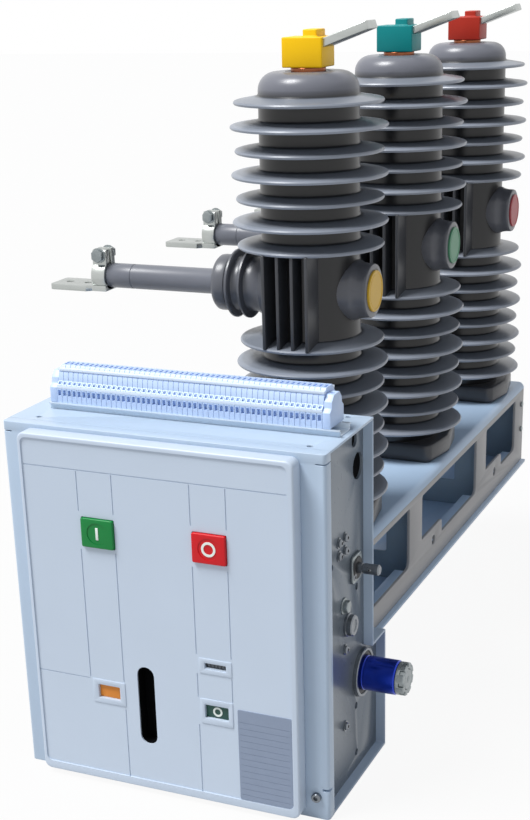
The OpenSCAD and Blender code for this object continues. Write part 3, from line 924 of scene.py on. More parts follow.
@dataclass
class Beam:
    """The folded base beam with its windows, bottom plate and cross plates."""

    bend: float = 9.0
    step: float = 25.0
    sill: float = 33.0
    head: float = 112.0
    windows: tuple[Pair, ...] = ((-339, -183), (-133, 117), (167, 332))
    tabs: dict[float, float] = field(default_factory=lambda: {-133: -47, 167: 253})
    bores: tuple[Pair, ...] = ((-83, 34), (217, 34))
    bolts: tuple[Pair, ...] = ((366, 58), (366, 98))
    rim_x: Pair = (3.0, 16.0)
    base_hole: Triple = (55.0, 250.0, 7.0)
    cross_at: Pair = (-158.0, 142.0)
    half: float = field(init=False)
    height: float = field(init=False)
    fold: float = field(init=False)
    neck: float = field(init=False)
    front: float = field(init=False)
    back: float = field(init=False)
    wall: float = field(init=False)

    def __post_init__(self) -> None:
        """Takes its outer sizes from the frame."""
        low, high = cad_box("beam_top")
        self.half, self.back, self.height = high
        self.neck, self.fold = low.y, low.z
        low, high = cad_box("beam_bottom")
        self.front, self.wall = low.y, high.z

    def top(self) -> MeshObject:
        """Top plate with its two folded edges."""
        x, z, r, edge = self.half - self.bend, self.height - self.bend, self.bend, self.half - self.wall
        outer = [*arc((-x, z), r, 180, 90), *arc((x, z), r, 90, 0)]
        inner = [*arc((x, z), r - self.wall, 0, 90), *arc((-x, z), r - self.wall, 90, 180)]
        outline = [
            (-self.half, self.fold), *outer, (self.half, self.fold),
            (edge, self.fold), *inner, (-edge, self.fold),
        ]
        return soften(plate(Axis.Y, outline, self.neck, self.back), 0.6, 2, 50)

    def window(self, y0: float, y1: float) -> list[Pair]:
        """Outline of one window, with its raised tab where it has one.

        Args:
            y0: where it starts along the beam.
            y1: where it ends.

        Returns:
            The outline as pairs along the beam and upwards.
        """
        r, z0, z1 = 10.0, self.sill, self.head
        tab = self.tabs.get(y0)
        if tab is None:
            left = arc((y0 + r, z0 + r), r, 180, 270)
        else:
            bump, foot = arc((tab - 5, z0 + 14), 5, 90, 0, 4), arc((tab + 4, z0 + 4), 4, 180, 270, 4)
            left = [(y0, z0 + 19), *bump, *foot]
        top = [*arc((y1 - 3, z1 - 3), 3, 0, 90, 3), *arc((y0 + 3, z1 - 3), 3, 90, 180, 3)]
        return [*left, *arc((y1 - r, z0 + r), r, 270, 360), *top]

    def side(self) -> MeshObject:
        """The right side of the beam with its windows and fixing holes."""
        x0, x1 = self.half - self.wall, self.half
        outline = [
            (self.front, self.wall), (self.back, self.wall), (self.back, self.fold), (self.neck, self.fold),
            (self.neck, self.step), (self.front, self.step),
        ]
        made = plate(Axis.X, outline, x0, x1)
        cutters = [plate(Axis.X, self.window(*w), x0 - 3, x1 + 3) for w in self.windows]
        cutters += [rod(Axis.X, p, x0 - 3, x1 + 3, 6.5) for p in self.bores]
        cut(made, cutters)
        return soften(made, 0.8, 2, 50)

    def window_rims(self) -> MeshObject:
        """Turned-in edges of the windows, which catch the light."""
        (near, far), z0, z1, rims = self.rim_x, self.sill - 2.5, self.sill - 0.2, []
        for y0, y1 in self.windows:
            rims.append(
                soften(block((self.half - far, y0 + 12, z0), (self.half - near, y1 - 12, z1)), 0.8, 2)
            )
        return join(rims)

    def build(self) -> None:
        """Builds the beam."""
        fit(self.top(), "beam_top_plate", BEAM_COAT, nodes=("beam_top",))
        right = self.side()
        left = again(right, (self.wall - 2 * self.half, 0, 0))
        # Both upright sides take the coat with painted shade and a painted warm reflection
        fit(right, "beam_wall_right", BEAM_SIDE_PAINTED_SHADE, nodes=("beam_side_right",))
        fit(left, "beam_wall_left", BEAM_SIDE_PAINTED_SHADE, nodes=("beam_side_left",))
        rims = self.window_rims()
        mirror = again(rims, (sum(self.rim_x) - 2 * self.half, 0, 0))
        fit(rims, "window_rims_right", BEAM_COAT)
        fit(mirror, "window_rims_left", BEAM_COAT)
        low, high = cad_box("beam_bottom")
        bottom = block(low, high)
        x, y, r = self.base_hole
        cut(bottom, [rod(Axis.Z, (i * x, j * y), low.z - 1, high.z + 1, r) for i in (-1, 1) for j in (-1, 1)])
        fit(soften(bottom, 0.8, 2), "beam_floor", BEAM_COAT, nodes=("beam_bottom",))
        low, high = cad_box("cross_plates")
        opening = rounded((-40, self.fold - 80), (40, self.fold - 40), 4)
        plates = []
        for y in self.cross_at:
            made = block((low.x, y, low.z), (high.x, y + self.wall, high.z))
            plates.append(cut(made, [plate(Axis.Y, opening, y - 1, y + self.wall + 1)]))
        plates.append(block((low.x, self.back - self.wall, low.z), (high.x, self.back, high.z)))
        made = soften(join(plates), 0.6, 2)
        fit(made, "beam_cross_plates", INNER_COAT, nodes=("cross_plates",))
        heads = [rod(Axis.X, p, self.half - 0.2, self.half + 3, 4.5, 6) for p in self.bolts]
        fit(join([soften(head, 0.6, 2) for head in heads]), "beam_bolts", ZINC_PLATE)


# ---------------------------------------------------------------- case


@dataclass
class Case:
    """The mechanism case with its sheets, side wall fittings and screws."""

    step: float = 25.0
    hex_at: Pair = (-458.0, 96.0)
    pin_at: Pair = (-447.0, 69.5)
    socket_at: Pair = (92.5, -99.0)
    roof_holes: tuple[Pair, ...] = ((-240, -507), (81, -510), (81, -400))
    screws: tuple[Pair, ...] = (
        (-453, 174), (-471, 174), (-453, 159), (-471, 159), (-455, 43), (-456, -51), (-431, 120),
    )
    holes: tuple[tuple[float, float, float], ...] = (
        (-422, 274, 8), (-412, 242, 15), (-491, 153, 3.5), (-417, 103, 4), (-420, -43, 4), (-420, -103, 4),
    )
    left: float = field(init=False)
    right: float = field(init=False)
    low: float = field(init=False)
    top: float = field(init=False)
    front: float = field(init=False)
    front_t: float = field(init=False)
    upper_back: float = field(init=False)
    lower_back: float = field(init=False)
    wall: float = field(init=False)
    recess: float = field(init=False)
    charge_at: Pair = field(init=False)
    drive_at: Pair = field(init=False)

    def __post_init__(self) -> None:
        """Takes its outer sizes and the places of the two shafts from the frame."""
        self.left, self.front, self.low = cad_box("front_plate")[0]
        self.right, plate_back, self.top = cad_box("front_plate")[1]
        self.front_t = plate_back - self.front
        low, high = cad_box("top_sheet")
        self.upper_back, self.wall = high.y, high.z - low.z
        self.lower_back = cad_box("back_sheet")[1].y
        self.recess = self.right - cad_box("case_body")[1].x
        self.charge_at = across("charging_shaft", Axis.X)[0]
        self.drive_at = across("shaft_nut", Axis.X)[0]

    def outline(self, inset: float) -> list[Pair]:
        """Stepped outline of the case seen from the side.

        Args:
            inset: how far it stays inside the sheets.

        Returns:
            Pairs of depth and height.
        """
        y0, y1, y2 = self.front + self.front_t, self.upper_back - inset, self.lower_back - inset
        low, top, step = self.low + inset, self.top - inset, self.step - inset
        return [(y0, low), (y2, low), (y2, step), (y1, step), (y1, top), (y0, top)]

    def body(self) -> MeshObject:
        """Case body with the pockets of its fittings on both side walls."""
        x0, x1 = self.left + self.recess, self.right - self.recess
        made = plate(Axis.X, self.outline(self.wall), x0, x1)
        cutters = [rod(Axis.X, (y, z), x1 - 13, x1 + 2, r) for y, z, r in self.holes]
        cutters += [rod(Axis.X, (y, z), x0 - 2, x0 + 13, r) for y, z, r in self.holes[:2]]
        cutters.append(rod(Axis.X, self.charge_at, x1 - 22, x1 + 2, 11.2))
        cutters.append(rod(Axis.X, self.drive_at, x1 - 27, x1 + 2, 28.6))
        cut(made, cutters)
        return soften(made, 0.5, 2, 50)

    def front_frame(self) -> MeshObject:
        """Front plate with rounded upright edges and relief slits near the corners."""
        y0, y1 = self.front, self.front + self.front_t
        outline = [
            (self.right, y1), (self.left, y1),
            *arc((self.left + 4, y0 + 4), 4, 180, 270), *arc((self.right - 4, y0 + 4), 4, 270, 360),
        ]
        made = plate(Axis.Z, outline, self.low, self.top)
        slits = [
            block((self.right - 11, y0 - 1, self.top - 11.6), (self.right + 1, y0 + 16, self.top - 10.4)),
            block((self.right - 8, y0 - 1, -91.5), (self.right + 1, y0 + 9, -88.5)),
            block((self.left - 1, y0 - 1, self.top - 11.6), (self.left + 11, y0 + 16, self.top - 10.4)),
        ]
        cut(made, slits)
        return soften(made, 0.9, 3, 50)

    def roof(self) -> MeshObject:
        """Top sheet with its three holes."""
        y0, y1 = self.front + self.front_t, self.upper_back
        made = block((self.left, y0, self.top - self.wall), (self.right, y1, self.top))
        cut(made, [rod(Axis.Z, p, self.top - 6, self.top + 2, 3.2) for p in self.roof_holes])
        return soften(made, 0.8, 3)

    def back(self) -> MeshObject:
        """One folded sheet: bottom, lower back, step and upper back."""
        y0, t = self.front + self.front_t, self.wall
        ub, lb, low, step, top = self.upper_back, self.lower_back, self.low, self.step, self.top - t
        section = [
            (y0, low), (lb, low), (lb, step), (ub, step), (ub, top),
            (ub - t, top), (ub - t, step - t), (lb - t, step - t), (lb - t, low + t), (y0, low + t),
        ]
        return soften(plate(Axis.X, section, self.left, self.right), 1.2, 3, 50)

    def pan_screw(self, y: float, z: float, radius: float = 4.6) -> MeshObject:
        """Pan head screw with a hexagon socket and its washer, on the right side wall.

        Args:
            y: its place along the wall.
            z: its height.
            radius: radius of its head.

        Returns:
            The screw.
        """
        x = self.right - self.recess
        head = [(0, x), (radius + 1.6, x), (radius + 1.6, x + 1), (radius, x + 1.2), (radius, x + 2.6),
                (radius * 0.72, x + 4), (0, x + 4.2)]
        made = turned(Axis.X, (y, z), head, 28)
        return cut(made, [rod(Axis.X, (y, z), x + 2.2, x + 6, radius * 0.45, 6)])

    def build(self) -> None:
        """Builds the case."""
        x, left = self.right - self.recess, self.left + self.recess
        # Painted shadow: near-black plugs at the bottom of the holes in the side walls
        shadow_plugs = [rod(Axis.X, (y, z), x - 12.9, x - 3, r - 0.05) for y, z, r in self.holes]
        shadow_plugs += [rod(Axis.X, (y, z), left + 3, left + 12.9, r - 0.05) for y, z, r in self.holes[:2]]
        fit(soften(join(shadow_plugs), 0.3, 2), "hole_shadows", SHADOW_BLACK)
        # The side walls take the darker grey that is painted shade
        fit(self.body(), "case_walls", WALL_ZINC_PAINTED_SHADE, nodes=("case_body",))
        fit(self.front_frame(), "case_front", POWDER_COAT, nodes=("front_plate",))
        fit(self.roof(), "case_roof", POWDER_COAT, nodes=("top_sheet",))
        fit(self.back(), "case_back", POWDER_COAT, nodes=("back_sheet",))
        fit(join([self.pan_screw(*p) for p in self.screws]), "wall_screws", TURNED_STEEL)
        bolt = [
            soften(rod(Axis.X, self.hex_at, x - 0.2, x + 7, 7.4, 6), 0.8, 2),
            soften(rod(Axis.X, self.hex_at, x - 0.2, x + 1.6, 9.5, 40), 0.4, 2),
        ]
        fit(join(bolt), "wall_hex_bolt", ZINC_PLATE)
        pin = [(0, x), (13.5, x), (13.5, x + 2.4), (12, x + 3), (12, x + 7.8), (10.8, x + 9), (7, x + 9),
               (6.4, x + 8), (0, x + 8)]
        fit(turned(Axis.X, self.pin_at, pin), "pivot_pin", TURNED_STEEL)
        y, z = self.charge_at
        lug = plate(Axis.X, rounded((y - 15, z - 16), (y + 14, z + 16), 5), x, x + 3)
        cut(lug, [rod(Axis.X, self.charge_at, x - 1, x + 5, 12)])
        fit(soften(lug, 0.6, 2), "shaft_lug", ZINC_PLATE)
        y = self.front
        head = [(0, y - 5), (4.6, y - 5), (5.4, y - 4), (5.4, y), (0, y)]
        socket = turned(Axis.Y, self.socket_at, head, 32)
        cut(socket, [rod(Axis.Y, self.socket_at, y - 8, y - 2.4, 2.8, 6)])
        fit(socket, "front_socket_screw", TURNED_STEEL)


# ---------------------------------------------------------------- front panel


@dataclass
class FrontPanel:
    """The moulded front panel with its buttons, indicators and bare plates."""

    rim: float = 2.6
    sunk: float = 1.4
    button_play: float = 1.2
    window_play: float = 0.4
    card_depth: float = 4.8
    slot_at: Pair = (-101.0, -15.5)
    slot_size: Pair = (21.0, 95.0)
    windows: tuple[tuple[str, Pair, float], ...] = (
        ("charge_flag", (41, 29), 0), ("counter", (39, 18), -1), ("position_flag", (39, 30), 0),
    )
    grooves: tuple[tuple[float, tuple[Pair, ...]], ...] = (
        (-171.0, ((8.5, 162), (206, 250.8))),
        (-128.5, ((9, 162), (206, 250.8), (-110, -25))),
        (-37.0, ((59, 160), (206, 250.8), (7.5, 36), (-110, -26))),
        (4.2, ((59, 160), (206, 250.8), (7.5, 36))),
    )
    low: Pair = field(init=False)
    high: Pair = field(init=False)
    face: float = field(init=False)
    back: float = field(init=False)

    def __post_init__(self) -> None:
        """Takes its outer sizes from the frame."""
        low, high = cad_box("front_panel")
        self.low, self.high, self.face, self.back = (low.x, low.z), (high.x, high.z), low.y, high.y

    def pocket(
        self, at: Pair, size: Pair, depth: float, radius: float = 1.0, play: float = 0.0
    ) -> MeshObject:
        """A cutter for a rounded pocket in the panel's face.

        Args:
            at: its centre.
            size: its width and height.
            depth: how far it goes in from the panel's rim.
            radius: radius of its corners.
            play: what is added to both sizes.

        Returns:
            The cutter.
        """
        w, h = (size[0] + play) / 2, (size[1] + play) / 2
        outline = rounded((at[0] - w, at[1] - h), (at[0] + w, at[1] + h), radius, 4)
        return plate(Axis.Y, outline, self.face - 3, self.face + depth)

    def slab(self) -> MeshObject:
        """Panel with its raised rounded rim, sunk field, grooves, wells, windows and handle slot."""
        made = soften(plate(Axis.Y, rounded(self.low, self.high, 9, 8), self.face, self.back), 2.2, 4, 60)
        inner = (self.low[0] + self.rim + 1.6, self.low[1] + self.rim + 8)
        outer = (self.high[0] - self.rim - 4.4, self.high[1] - self.rim - 2.4)
        sunk = self.face + self.sunk
        cut(made, [plate(Axis.Y, rounded(inner, outer, 7, 8), self.face - 3, sunk)])
        cutters = [
            self.pocket(*across(node, Axis.Y), 15.5, 1.5, self.button_play)
            for node in ("close_button", "trip_button")
        ]
        cutters += [
            self.pocket(*across(node, Axis.Y), 5, play=self.window_play) for node, _, _ in self.windows
        ]
        cutters.append(self.pocket(self.slot_at, self.slot_size, 18, 10.4))
        for x, parts in self.grooves:
            cutters += [block((x - 0.6, sunk - 1, a), (x + 0.6, sunk + 0.8, b)) for a, b in parts]
        cutters.append(block((-236, sunk - 1, 251.6), (72, sunk + 0.7, 252.8)))
        cutters.append(block((-237, sunk - 1, 6.4), (-171.8, sunk + 0.7, 7.4)))
        return cut(made, cutters)

    def bezel(self, at: Pair, outer: Pair, size: Pair) -> MeshObject:
        """A flat bezel round a window.

        Args:
            at: its centre.
            outer: its outer size.
            size: size of the card in its opening.

        Returns:
            The bezel.
        """
        y = self.face + self.sunk
        w, h = outer[0] / 2, outer[1] / 2
        outline = rounded((at[0] - w, at[1] - h), (at[0] + w, at[1] + h), 1.5, 4)
        made = plate(Axis.Y, outline, y - 0.8, y + 0.4)
        cut(made, [self.pocket(at, size, 6, play=2 * self.window_play)])
        return soften(made, 0.35, 2, 40)

    def push_button(self, node: str) -> MeshObject:
        """Button cap with rounded edges and a sunk circle.

        Args:
            node: the frame node that it stands for.

        Returns:
            The button.
        """
        at, (w, h) = across(node, Axis.Y)
        y = self.face - 2
        outline = rounded((at[0] - w / 2, at[1] - h / 2), (at[0] + w / 2, at[1] + h / 2), 2, 4)
        made = plate(Axis.Y, outline, y, y + 11)
        soften(made, 1.1, 3, 50)
        return cut(made, [rod(Axis.Y, at, y - 1, y + 0.7, 12.2, 48)])

    def ring(self, at: Pair, radius: float, width: float) -> MeshObject:
        """Raised ring on a button or card.

        Args:
            at: its centre.
            radius: its outer radius.
            width: its width.

        Returns:
            The ring.
        """
        y0, y1 = self.face - 1.9, self.face - 1.1
        inner = radius - width
        return turned(Axis.Y, at, [(inner, y1), (inner, y0), (radius, y0), (radius, y1), (inner, y1)], 48)

    def rating_plate(self) -> MeshObject:
        """Plain plate with ruled rows, without print."""
        low, high = cad_box("rating_plate")
        x0, x1, y = low.x + 2.5, high.x - 2.5, self.face + self.sunk
        made = plate(Axis.Y, rounded((low.x, low.z), (high.x, high.z), 1.5, 4), y - 0.7, y + 0.3)
        heights = [low.z + 6 + i * 7.4 for i in range(13)]
        return cut(made, [block((x0, y - 2, z), (x1, y - 0.45, z + 0.5)) for z in heights])

    def build(self) -> None:
        """Builds the front panel."""
        fit(self.slab(), "panel_moulding", PANEL_ABS, nodes=("front_panel",))
        bezels = []
        for node, outer, lift in self.windows:
            (x, z), size = across(node, Axis.Y)
            bezels.append(self.bezel((x, z + lift), outer, size))
        fit(join(bezels), "window_bezels", BARE_ABS)
        green, red = self.push_button("close_button"), self.push_button("trip_button")
        fit(green, "close_button_cap", BUTTON_GREEN, Body.CLOSE, ("close_button",))
        fit(red, "trip_button_cap", BUTTON_RED, Body.TRIP, ("trip_button",))
        x, z = across("close_button", Axis.Y)[0]
        bar = soften(block((x - 1.6, self.face - 1.9, z - 7), (x + 1.6, self.face - 1.1, z + 7)), 0.3, 2)
        fit(bar, "close_button_bar", MARK_WHITE, Body.CLOSE)
        ring = self.ring(across("trip_button", Axis.Y)[0], 8.2, 2.6)
        fit(ring, "trip_button_ring", MARK_WHITE, Body.TRIP)
        deep = self.face + self.card_depth
        for name, finish, slot, node in (
            ("charge_card", FLAG_ORANGE, "flag_orange", "charge_flag"),
            ("counter_wheels", COUNTER_DARK, "counter_white", "counter"),
            ("position_card", FLAG_GREEN, "flag_green", "position_flag"),
        ):
            low, high = cad_box(node)
            card = block((low.x, deep - 0.8, low.z), (high.x, deep, high.z))
            fit(soften(card, 0.2, 2), name, finish, nodes=(node,))
        y = deep - 1.1
        section = [(3.4, y), (3.4, y - 0.4), (5.6, y - 0.4), (5.6, y), (3.4, y)]
        mark = turned(Axis.Y, across("position_flag", Axis.Y)[0], section, 40)
        fit(mark, "position_ring", MARK_WHITE)
        fit(self.rating_plate(), "bare_rating_plate", PLATE_PRINT, nodes=("rating_plate",))
        # Painted shadow: a near-black liner inside the handle slot
        x, z = self.slot_at
        w, h = self.slot_size[0] / 2 - 0.4, self.slot_size[1] / 2 - 0.4
        dark = plate(Axis.Y, rounded((x - w, z - h), (x + w, z + h), 10, 6), self.face + 3, self.face + 17.8)
        cut(dark, [self.pocket(self.slot_at, (2 * w, 2 * h), 17, 9, -1.6)])
        fit(dark, "slot_painted_shadow", SHADOW_BLACK)
        x, z = across("counter", Axis.Y)[0]
        drums = []
        for i in range(5):
            start = x - 10 + i * 4.2
            drums.append(
                soften(block((start, deep - 1.3, z - 2.4), (start + 3.2, deep - 0.6, z + 2.4)), 0.3, 2)
            )
        fit(join(drums), "counter_drums", DRUM_GREY)


# ---------------------------------------------------------------- terminals


@dataclass
class Terminals:
    """Rail, terminal strip and end stops on the roof of the case."""

    count: int = 51
    stop_t: float = 9.0
    x0: float = field(init=False)
    y0: float = field(init=False)
    z0: float = field(init=False)
    width: float = field(init=False)
    depth: float = field(init=False)
    height: float = field(init=False)

    def __post_init__(self) -> None:
        """Takes the place and size of the strip from the frame."""
        low, high = cad_box("terminal_strip")
        self.x0, self.y0, self.z0 = low
        self.width = (high.x - low.x) / self.count
        self.depth, self.height = high.y - low.y, high.z - low.z

    def outline(self, depth: float, height: float) -> list[Pair]:
        """Stepped section of one terminal.

        Args:
            depth: its depth.
            height: its height.

        Returns:
            Pairs of depth and height.
        """
        low, y, z = height * 0.5, self.y0, self.z0
        return [
            (y, z), (y + depth, z), (y + depth, z + low),
            (y + depth * 0.88, z + low + 4), (y + depth * 0.86, z + height * 0.8),
            (y + depth * 0.7, z + height), (y + depth * 0.3, z + height),
            (y + depth * 0.14, z + height * 0.8), (y + depth * 0.12, z + low + 4), (y, z + low),
        ]

    def terminal(self) -> MeshObject:
        """One terminal with its wire openings, screw wells and slits."""
        x0, x1 = self.x0 + 0.25, self.x0 + self.width - 0.25
        made = plate(Axis.X, self.outline(self.depth, self.height), x0, x1)
        y, z, d = self.y0, self.z0, self.depth
        mid = (x0 + x1) / 2
        cutters = [
            block((mid - 1.9, y - 1, z + 8), (mid + 1.9, y + 4, z + 14.5)),
            block((mid - 1.9, y + d - 4, z + 8), (mid + 1.9, y + d + 1, z + 14.5)),
            block((mid - 1.7, y + 1.2, z + 18), (mid + 1.7, y + 4.4, z + 30)),
            block((mid - 1.7, y + d - 4.4, z + 18), (mid + 1.7, y + d - 1.2, z + 30)),
            block((mid - 1.5, y + d / 2 - 5, z + 36), (mid + 1.5, y + d / 2 + 5, z + 42)),
        ]
        return cut(made, cutters)

    def row(self, one: MeshObject) -> MeshObject:
        """The whole strip from one terminal.

        Args:
            one: the terminal at the left end.

        Returns:
            The strip.
        """
        modify(
            one, "ARRAY", count=self.count, use_relative_offset=False,
            use_constant_offset=True, constant_offset_displace=(self.width * MM, 0, 0),
        )
        return one

    def stop(self, x: float) -> MeshObject:
        """End stop with its clamping screw well.

        Args:
            x: where it starts.

        Returns:
            The end stop.
        """
        made = plate(Axis.X, self.outline(self.depth - 4, self.height - 6), x, x + self.stop_t)
        y = self.y0 + (self.depth - 4) / 2
        cut(made, [rod(Axis.Z, (x + self.stop_t / 2, y), self.z0 + 22, self.z0 + 50, 2.6, 24)])
        return soften(made, 0.6, 2)

    def rail(self) -> MeshObject:
        """Top-hat rail, drawn as one section."""
        low, high = cad_box("din_rail")
        y0, y1, z0, z1, t = low.y, high.y, low.z, high.z, 1.4
        section = [
            (y0, z1), (y0, z1 - t), (y0 + 4.5 - t, z1 - t), (y0 + 4.5 - t, z0), (y1 - 4.5 + t, z0),
            (y1 - 4.5 + t, z1 - t), (y1, z1 - t), (y1, z1), (y1 - 4.5, z1), (y1 - 4.5, z0 + t),
            (y0 + 4.5, z0 + t), (y0 + 4.5, z1),
        ]
        return soften(plate(Axis.X, section, low.x, high.x), 0.35, 2, 50)

    def build(self) -> None:
        """Builds the strip."""
        end = self.x0 + self.count * self.width
        fit(self.rail(), "mounting_rail", ALUMINIUM, nodes=("din_rail",))
        strip = self.row(self.terminal())
        fit(strip, "terminal_row", POLYAMIDE, nodes=("terminal_strip",))
        markers = []
        top = self.z0 + self.height
        for y in (self.y0 + 6.6, self.y0 + self.depth - 11.2):
            markers.append(soften(block((self.x0, y, top - 5.4), (end, y + 4.6, top - 2.4)), 0.4, 2))
        low = block((self.x0, self.y0 - 0.2, self.z0 + 16), (end, self.y0 + 2.6, self.z0 + 19.6))
        markers.append(soften(low, 0.4, 2))
        fit(join(markers), "marker_strips", MARKER_STRIP)
        stops = join([self.stop(self.x0 - self.stop_t), self.stop(end)])
        fit(stops, "strip_end_stops", POLYAMIDE, nodes=("end_stops",))


# ---------------------------------------------------------------- shafts


@dataclass
class Shafts:
    """Charging shaft and drive shaft on the right side wall."""

    wall: float = field(init=False)
    charge: Pair = field(init=False)
    drive: Pair = field(init=False)

    def __post_init__(self) -> None:
        """Takes the side wall's place and the axes of the shafts from the frame."""
        self.wall = cad_box("case_body")[1].x
        self.charge = across("charging_shaft", Axis.X)[0]
        self.drive = across("shaft_nut", Axis.X)[0]

    def nut(self) -> MeshObject:
        """Castellated nut of the drive shaft."""
        x0, x1 = self.wall + 45, self.wall + 56
        ring = [
            (12.1, x0), (18, x0), (19, x0 + 1), (19, x1 - 1), (18, x1), (13.2, x1), (12.1, x1 - 1),
            (12.1, x0),
        ]
        made = turned(Axis.X, self.drive, ring)
        y, z = self.drive
        one = block((x0 + 5, y - 2.4, z + 15.5), (x1 + 1, y + 2.4, z + 21))
        slots = [one]
        for i in range(1, 8):
            slot = again(one, (0, 0, 0))
            bpy.ops.object.mode_set(mode="EDIT")
            bpy.ops.mesh.select_all(action="SELECT")
            bpy.ops.transform.rotate(
                value=math.radians(45 * i), orient_axis="X", orient_type="GLOBAL",
                center_override=place(Axis.X, *self.drive, x0),
            )
            bpy.ops.object.mode_set(mode="OBJECT")
            slots.append(slot)
        return soften(cut(made, slots), 0.3, 2, 50)

    def build(self) -> None:
        """Builds both shafts with their bush, bearing and nut."""
        w = self.wall
        bush = [
            (6.05, w - 12), (11, w - 12), (11, w), (13, w), (13, w + 3.2), (12.2, w + 4), (7, w + 4),
            (6.05, w + 3.2), (6.05, w - 12),
        ]
        fit(
            turned(Axis.X, self.charge, bush), "shaft_bush", DARK_STEEL,
            nodes=("charging_bush",),
        )
        stub = [
            (0, w - 20), (6, w - 20), (6, w + 9), (5.4, w + 9.4), (5.4, w + 11), (6, w + 11.4),
            (6, w + 27.4), (4.6, w + 29), (0, w + 29),
        ]
        shaft = turned(Axis.X, self.charge, stub, 48)
        y, z = self.charge
        cut(shaft, [rod(Axis.Y, (w + 19, z), y - 9, y + 9, 2, 24)])
        fit(shaft, "charging_stub", TURNED_STEEL, Body.CHARGING, ("charging_shaft",))
        outer = [
            (26, w - 11), (28.5, w - 11), (28.5, w + 4.2), (27.7, w + 5), (25.4, w + 5), (24.8, w + 4.2),
            (24.8, w - 11), (26, w - 11),
        ]
        bearing = turned(Axis.X, self.drive, outer)
        fit(bearing, "bearing_ring", TURNED_STEEL, nodes=("shaft_bearing",))
        seal = [
            (20.3, w - 10), (24.8, w - 10), (24.8, w + 3.4), (23.6, w + 3.8), (21.4, w + 3.8),
            (20.3, w + 3.2), (20.3, w - 10),
        ]
        fit(turned(Axis.X, self.drive, seal), "bearing_seal", DARK_STEEL)
        drum = [
            (0, w - 24), (20, w - 24), (20, w + 6.6), (19.3, w + 7.2), (19.3, w + 8.6), (20, w + 9.2),
            (20, w + 43.6), (18.8, w + 45), (12, w + 45), (0, w + 45),
        ]
        barrel = turned(Axis.X, self.drive, drum, 80)
        fit(barrel, "drive_drum", BLUE_SHAFT, Body.DRIVE, ("drive_shaft",))
        thread: list[Pair] = [(0, w + 44)]
        for i in range(7):
            thread += [(12, w + 44.4 + i * 1.5), (11.3, w + 45.1 + i * 1.5)]
        thread += [(11.6, w + 55), (10.8, w + 56), (4, w + 56), (3, w + 54.6), (0, w + 54.6)]
        fit(turned(Axis.X, self.drive, thread, 48), "drive_thread", ZINC_PLATE, Body.DRIVE)
        fit(self.nut(), "castle_nut", ZINC_PLATE, Body.DRIVE, ("shaft_nut",))


# ---------------------------------------------------------------- studio


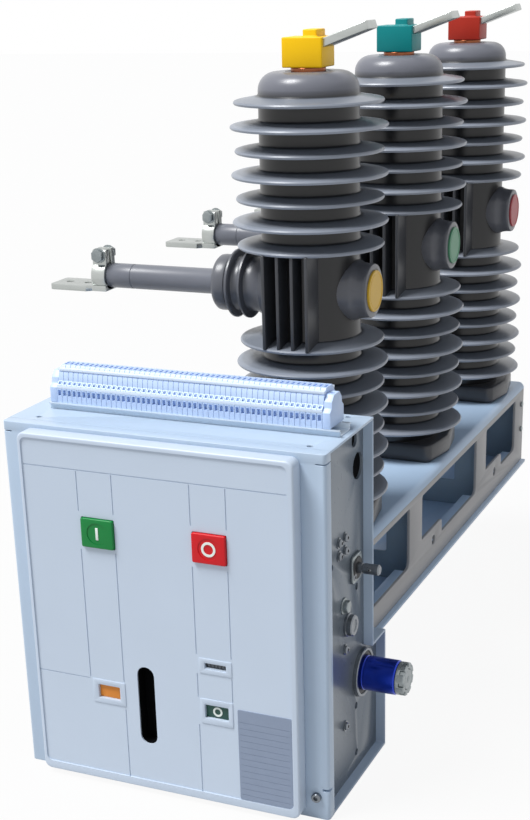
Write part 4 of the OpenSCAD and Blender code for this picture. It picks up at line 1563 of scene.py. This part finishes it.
@dataclass
class Studio:
    """Camera, floor, sun and sky."""

    lens: float = 64.2776
    sensor: float = 36.0
    shift_y: float = 0.1341
    tilt: float = 20.401
    turn: float = 24.253
    roll: float = -1.609
    eye: Triple = (617.8, -1817.2, 738.8)
    sky_level: float = 0.4
    sun_level: float = 3.65
    sun_to: Triple = (-0.37, -0.3, 0.88)
    sun_spread: float = 24.0
    floor_white: float = 0.93

    def camera(self) -> None:
        """Adds the camera."""
        tilt, turn, roll = (math.radians(a) for a in (self.tilt, self.turn, self.roll))
        ahead = Vector((-math.sin(turn) * math.cos(tilt), math.cos(turn) * math.cos(tilt), -math.sin(tilt)))
        level = Vector((math.cos(turn), math.sin(turn), 0))
        upright = level.cross(ahead)
        right = level * math.cos(roll) + upright * math.sin(roll)
        up = upright * math.cos(roll) - level * math.sin(roll)
        data = bpy.data.cameras.new("camera")
        data.sensor_width = self.sensor
        data.lens = self.lens
        data.shift_y = self.shift_y
        data.clip_end = 100
        made = bpy.data.objects.new("camera", data)
        bpy.context.scene.collection.objects.link(made)
        turned_by = Matrix((right, up, -ahead)).transposed().to_4x4()
        made.matrix_world = Matrix.Translation(Vector(self.eye) * MM) @ turned_by
        bpy.context.scene.camera = made

    def floor(self, height: float) -> None:
        """Adds the floor under the object.

        Args:
            height: its height in metres.
        """
        take()
        bpy.ops.mesh.primitive_plane_add(size=30, location=(0, 0, height - 0.0005))
        made = settle()
        made.name = "floor"
        finish = Finish("studio_floor", "#C4C4C4", "#C0C0C0", 400, 0.9, 0.02, ior=1.2, relief=0.0)
        ground = finish.material()
        tree = ground.node_tree
        path = add_node(tree, "ShaderNodeLightPath", {})
        seen = add_node(
            tree,
            "ShaderNodeMath",
            {0: path.outputs["Is Camera Ray"], 1: path.outputs["Is Glossy Ray"]},
            operation="MAXIMUM",
        )
        share = add_node(
            tree, "ShaderNodeMath", {0: seen.outputs[0], 1: self.floor_white}, operation="MULTIPLY"
        )
        glow = add_node(tree, "ShaderNodeEmission", {"Color": linear("#FFFFFF"), "Strength": 1.0})
        surface = tree.nodes["Principled BSDF"].outputs[0]
        mixed = add_node(tree, "ShaderNodeMixShader", {0: share.outputs[0], 1: surface, 2: glow.outputs[0]})
        tree.links.new(mixed.outputs[0], tree.nodes["Material Output"].inputs["Surface"])
        made.data.materials.append(ground)
        made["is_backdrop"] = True

    def sun(self) -> None:
        """Adds the broad light from the upper left."""
        take()
        bpy.ops.object.light_add(type="SUN", location=(0, 0, 3))
        lamp = bpy.context.object
        lamp.name = "broad_light"
        lamp.data.energy = self.sun_level
        lamp.data.angle = math.radians(self.sun_spread)
        lamp.rotation_mode = "QUATERNION"
        lamp.rotation_quaternion = Vector(self.sun_to).to_track_quat("Z", "Y")

    def sky(self) -> None:
        """Adds an even sky, and a white one where the camera, gloss or glass look at it."""
        world = bpy.data.worlds.new("studio")
        bpy.context.scene.world = world
        world.use_nodes = True
        tree = world.node_tree
        tree.nodes.clear()
        path = add_node(tree, "ShaderNodeLightPath", {})
        shown = path.outputs["Is Camera Ray"]
        for name in ("Is Glossy Ray", "Is Transmission Ray"):
            pair = {0: shown, 1: path.outputs[name]}
            shown = add_node(tree, "ShaderNodeMath", pair, operation="MAXIMUM").outputs[0]
        even = add_node(
            tree, "ShaderNodeBackground", {"Color": linear("#F4F8FF"), "Strength": self.sky_level}
        )
        white = add_node(tree, "ShaderNodeBackground", {"Color": linear("#FFFFFF"), "Strength": 1.0})
        mixed = add_node(tree, "ShaderNodeMixShader", {0: shown, 1: even.outputs[0], 2: white.outputs[0]})
        add_node(tree, "ShaderNodeOutputWorld", {"Surface": mixed.outputs[0]})

    def build(self, height: float) -> None:
        """Builds the studio.

        Args:
            height: height of the floor in metres.
        """
        self.camera()
        self.floor(height)
        self.sun()
        self.sky()
        bpy.context.scene.view_settings.view_transform = "Standard"


def corners(pair: tuple[Vector, Vector]) -> list[list[float]]:
    """Two corners as plain lists.

    Args:
        pair: the two corners.

    Returns:
        The lists of their coordinates.
    """
    return [list(corner) for corner in pair]


def main() -> None:
    logging.basicConfig(level=logging.INFO, format="%(name)s %(message)s")
    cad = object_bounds()
    Studio().build(cad[0].z)
    for assembly in (Pole(), Beam(), Case(), FrontPanel(), Terminals(), Shafts()):
        assembly.build()
    take()


if __name__ == "__main__":
    main()
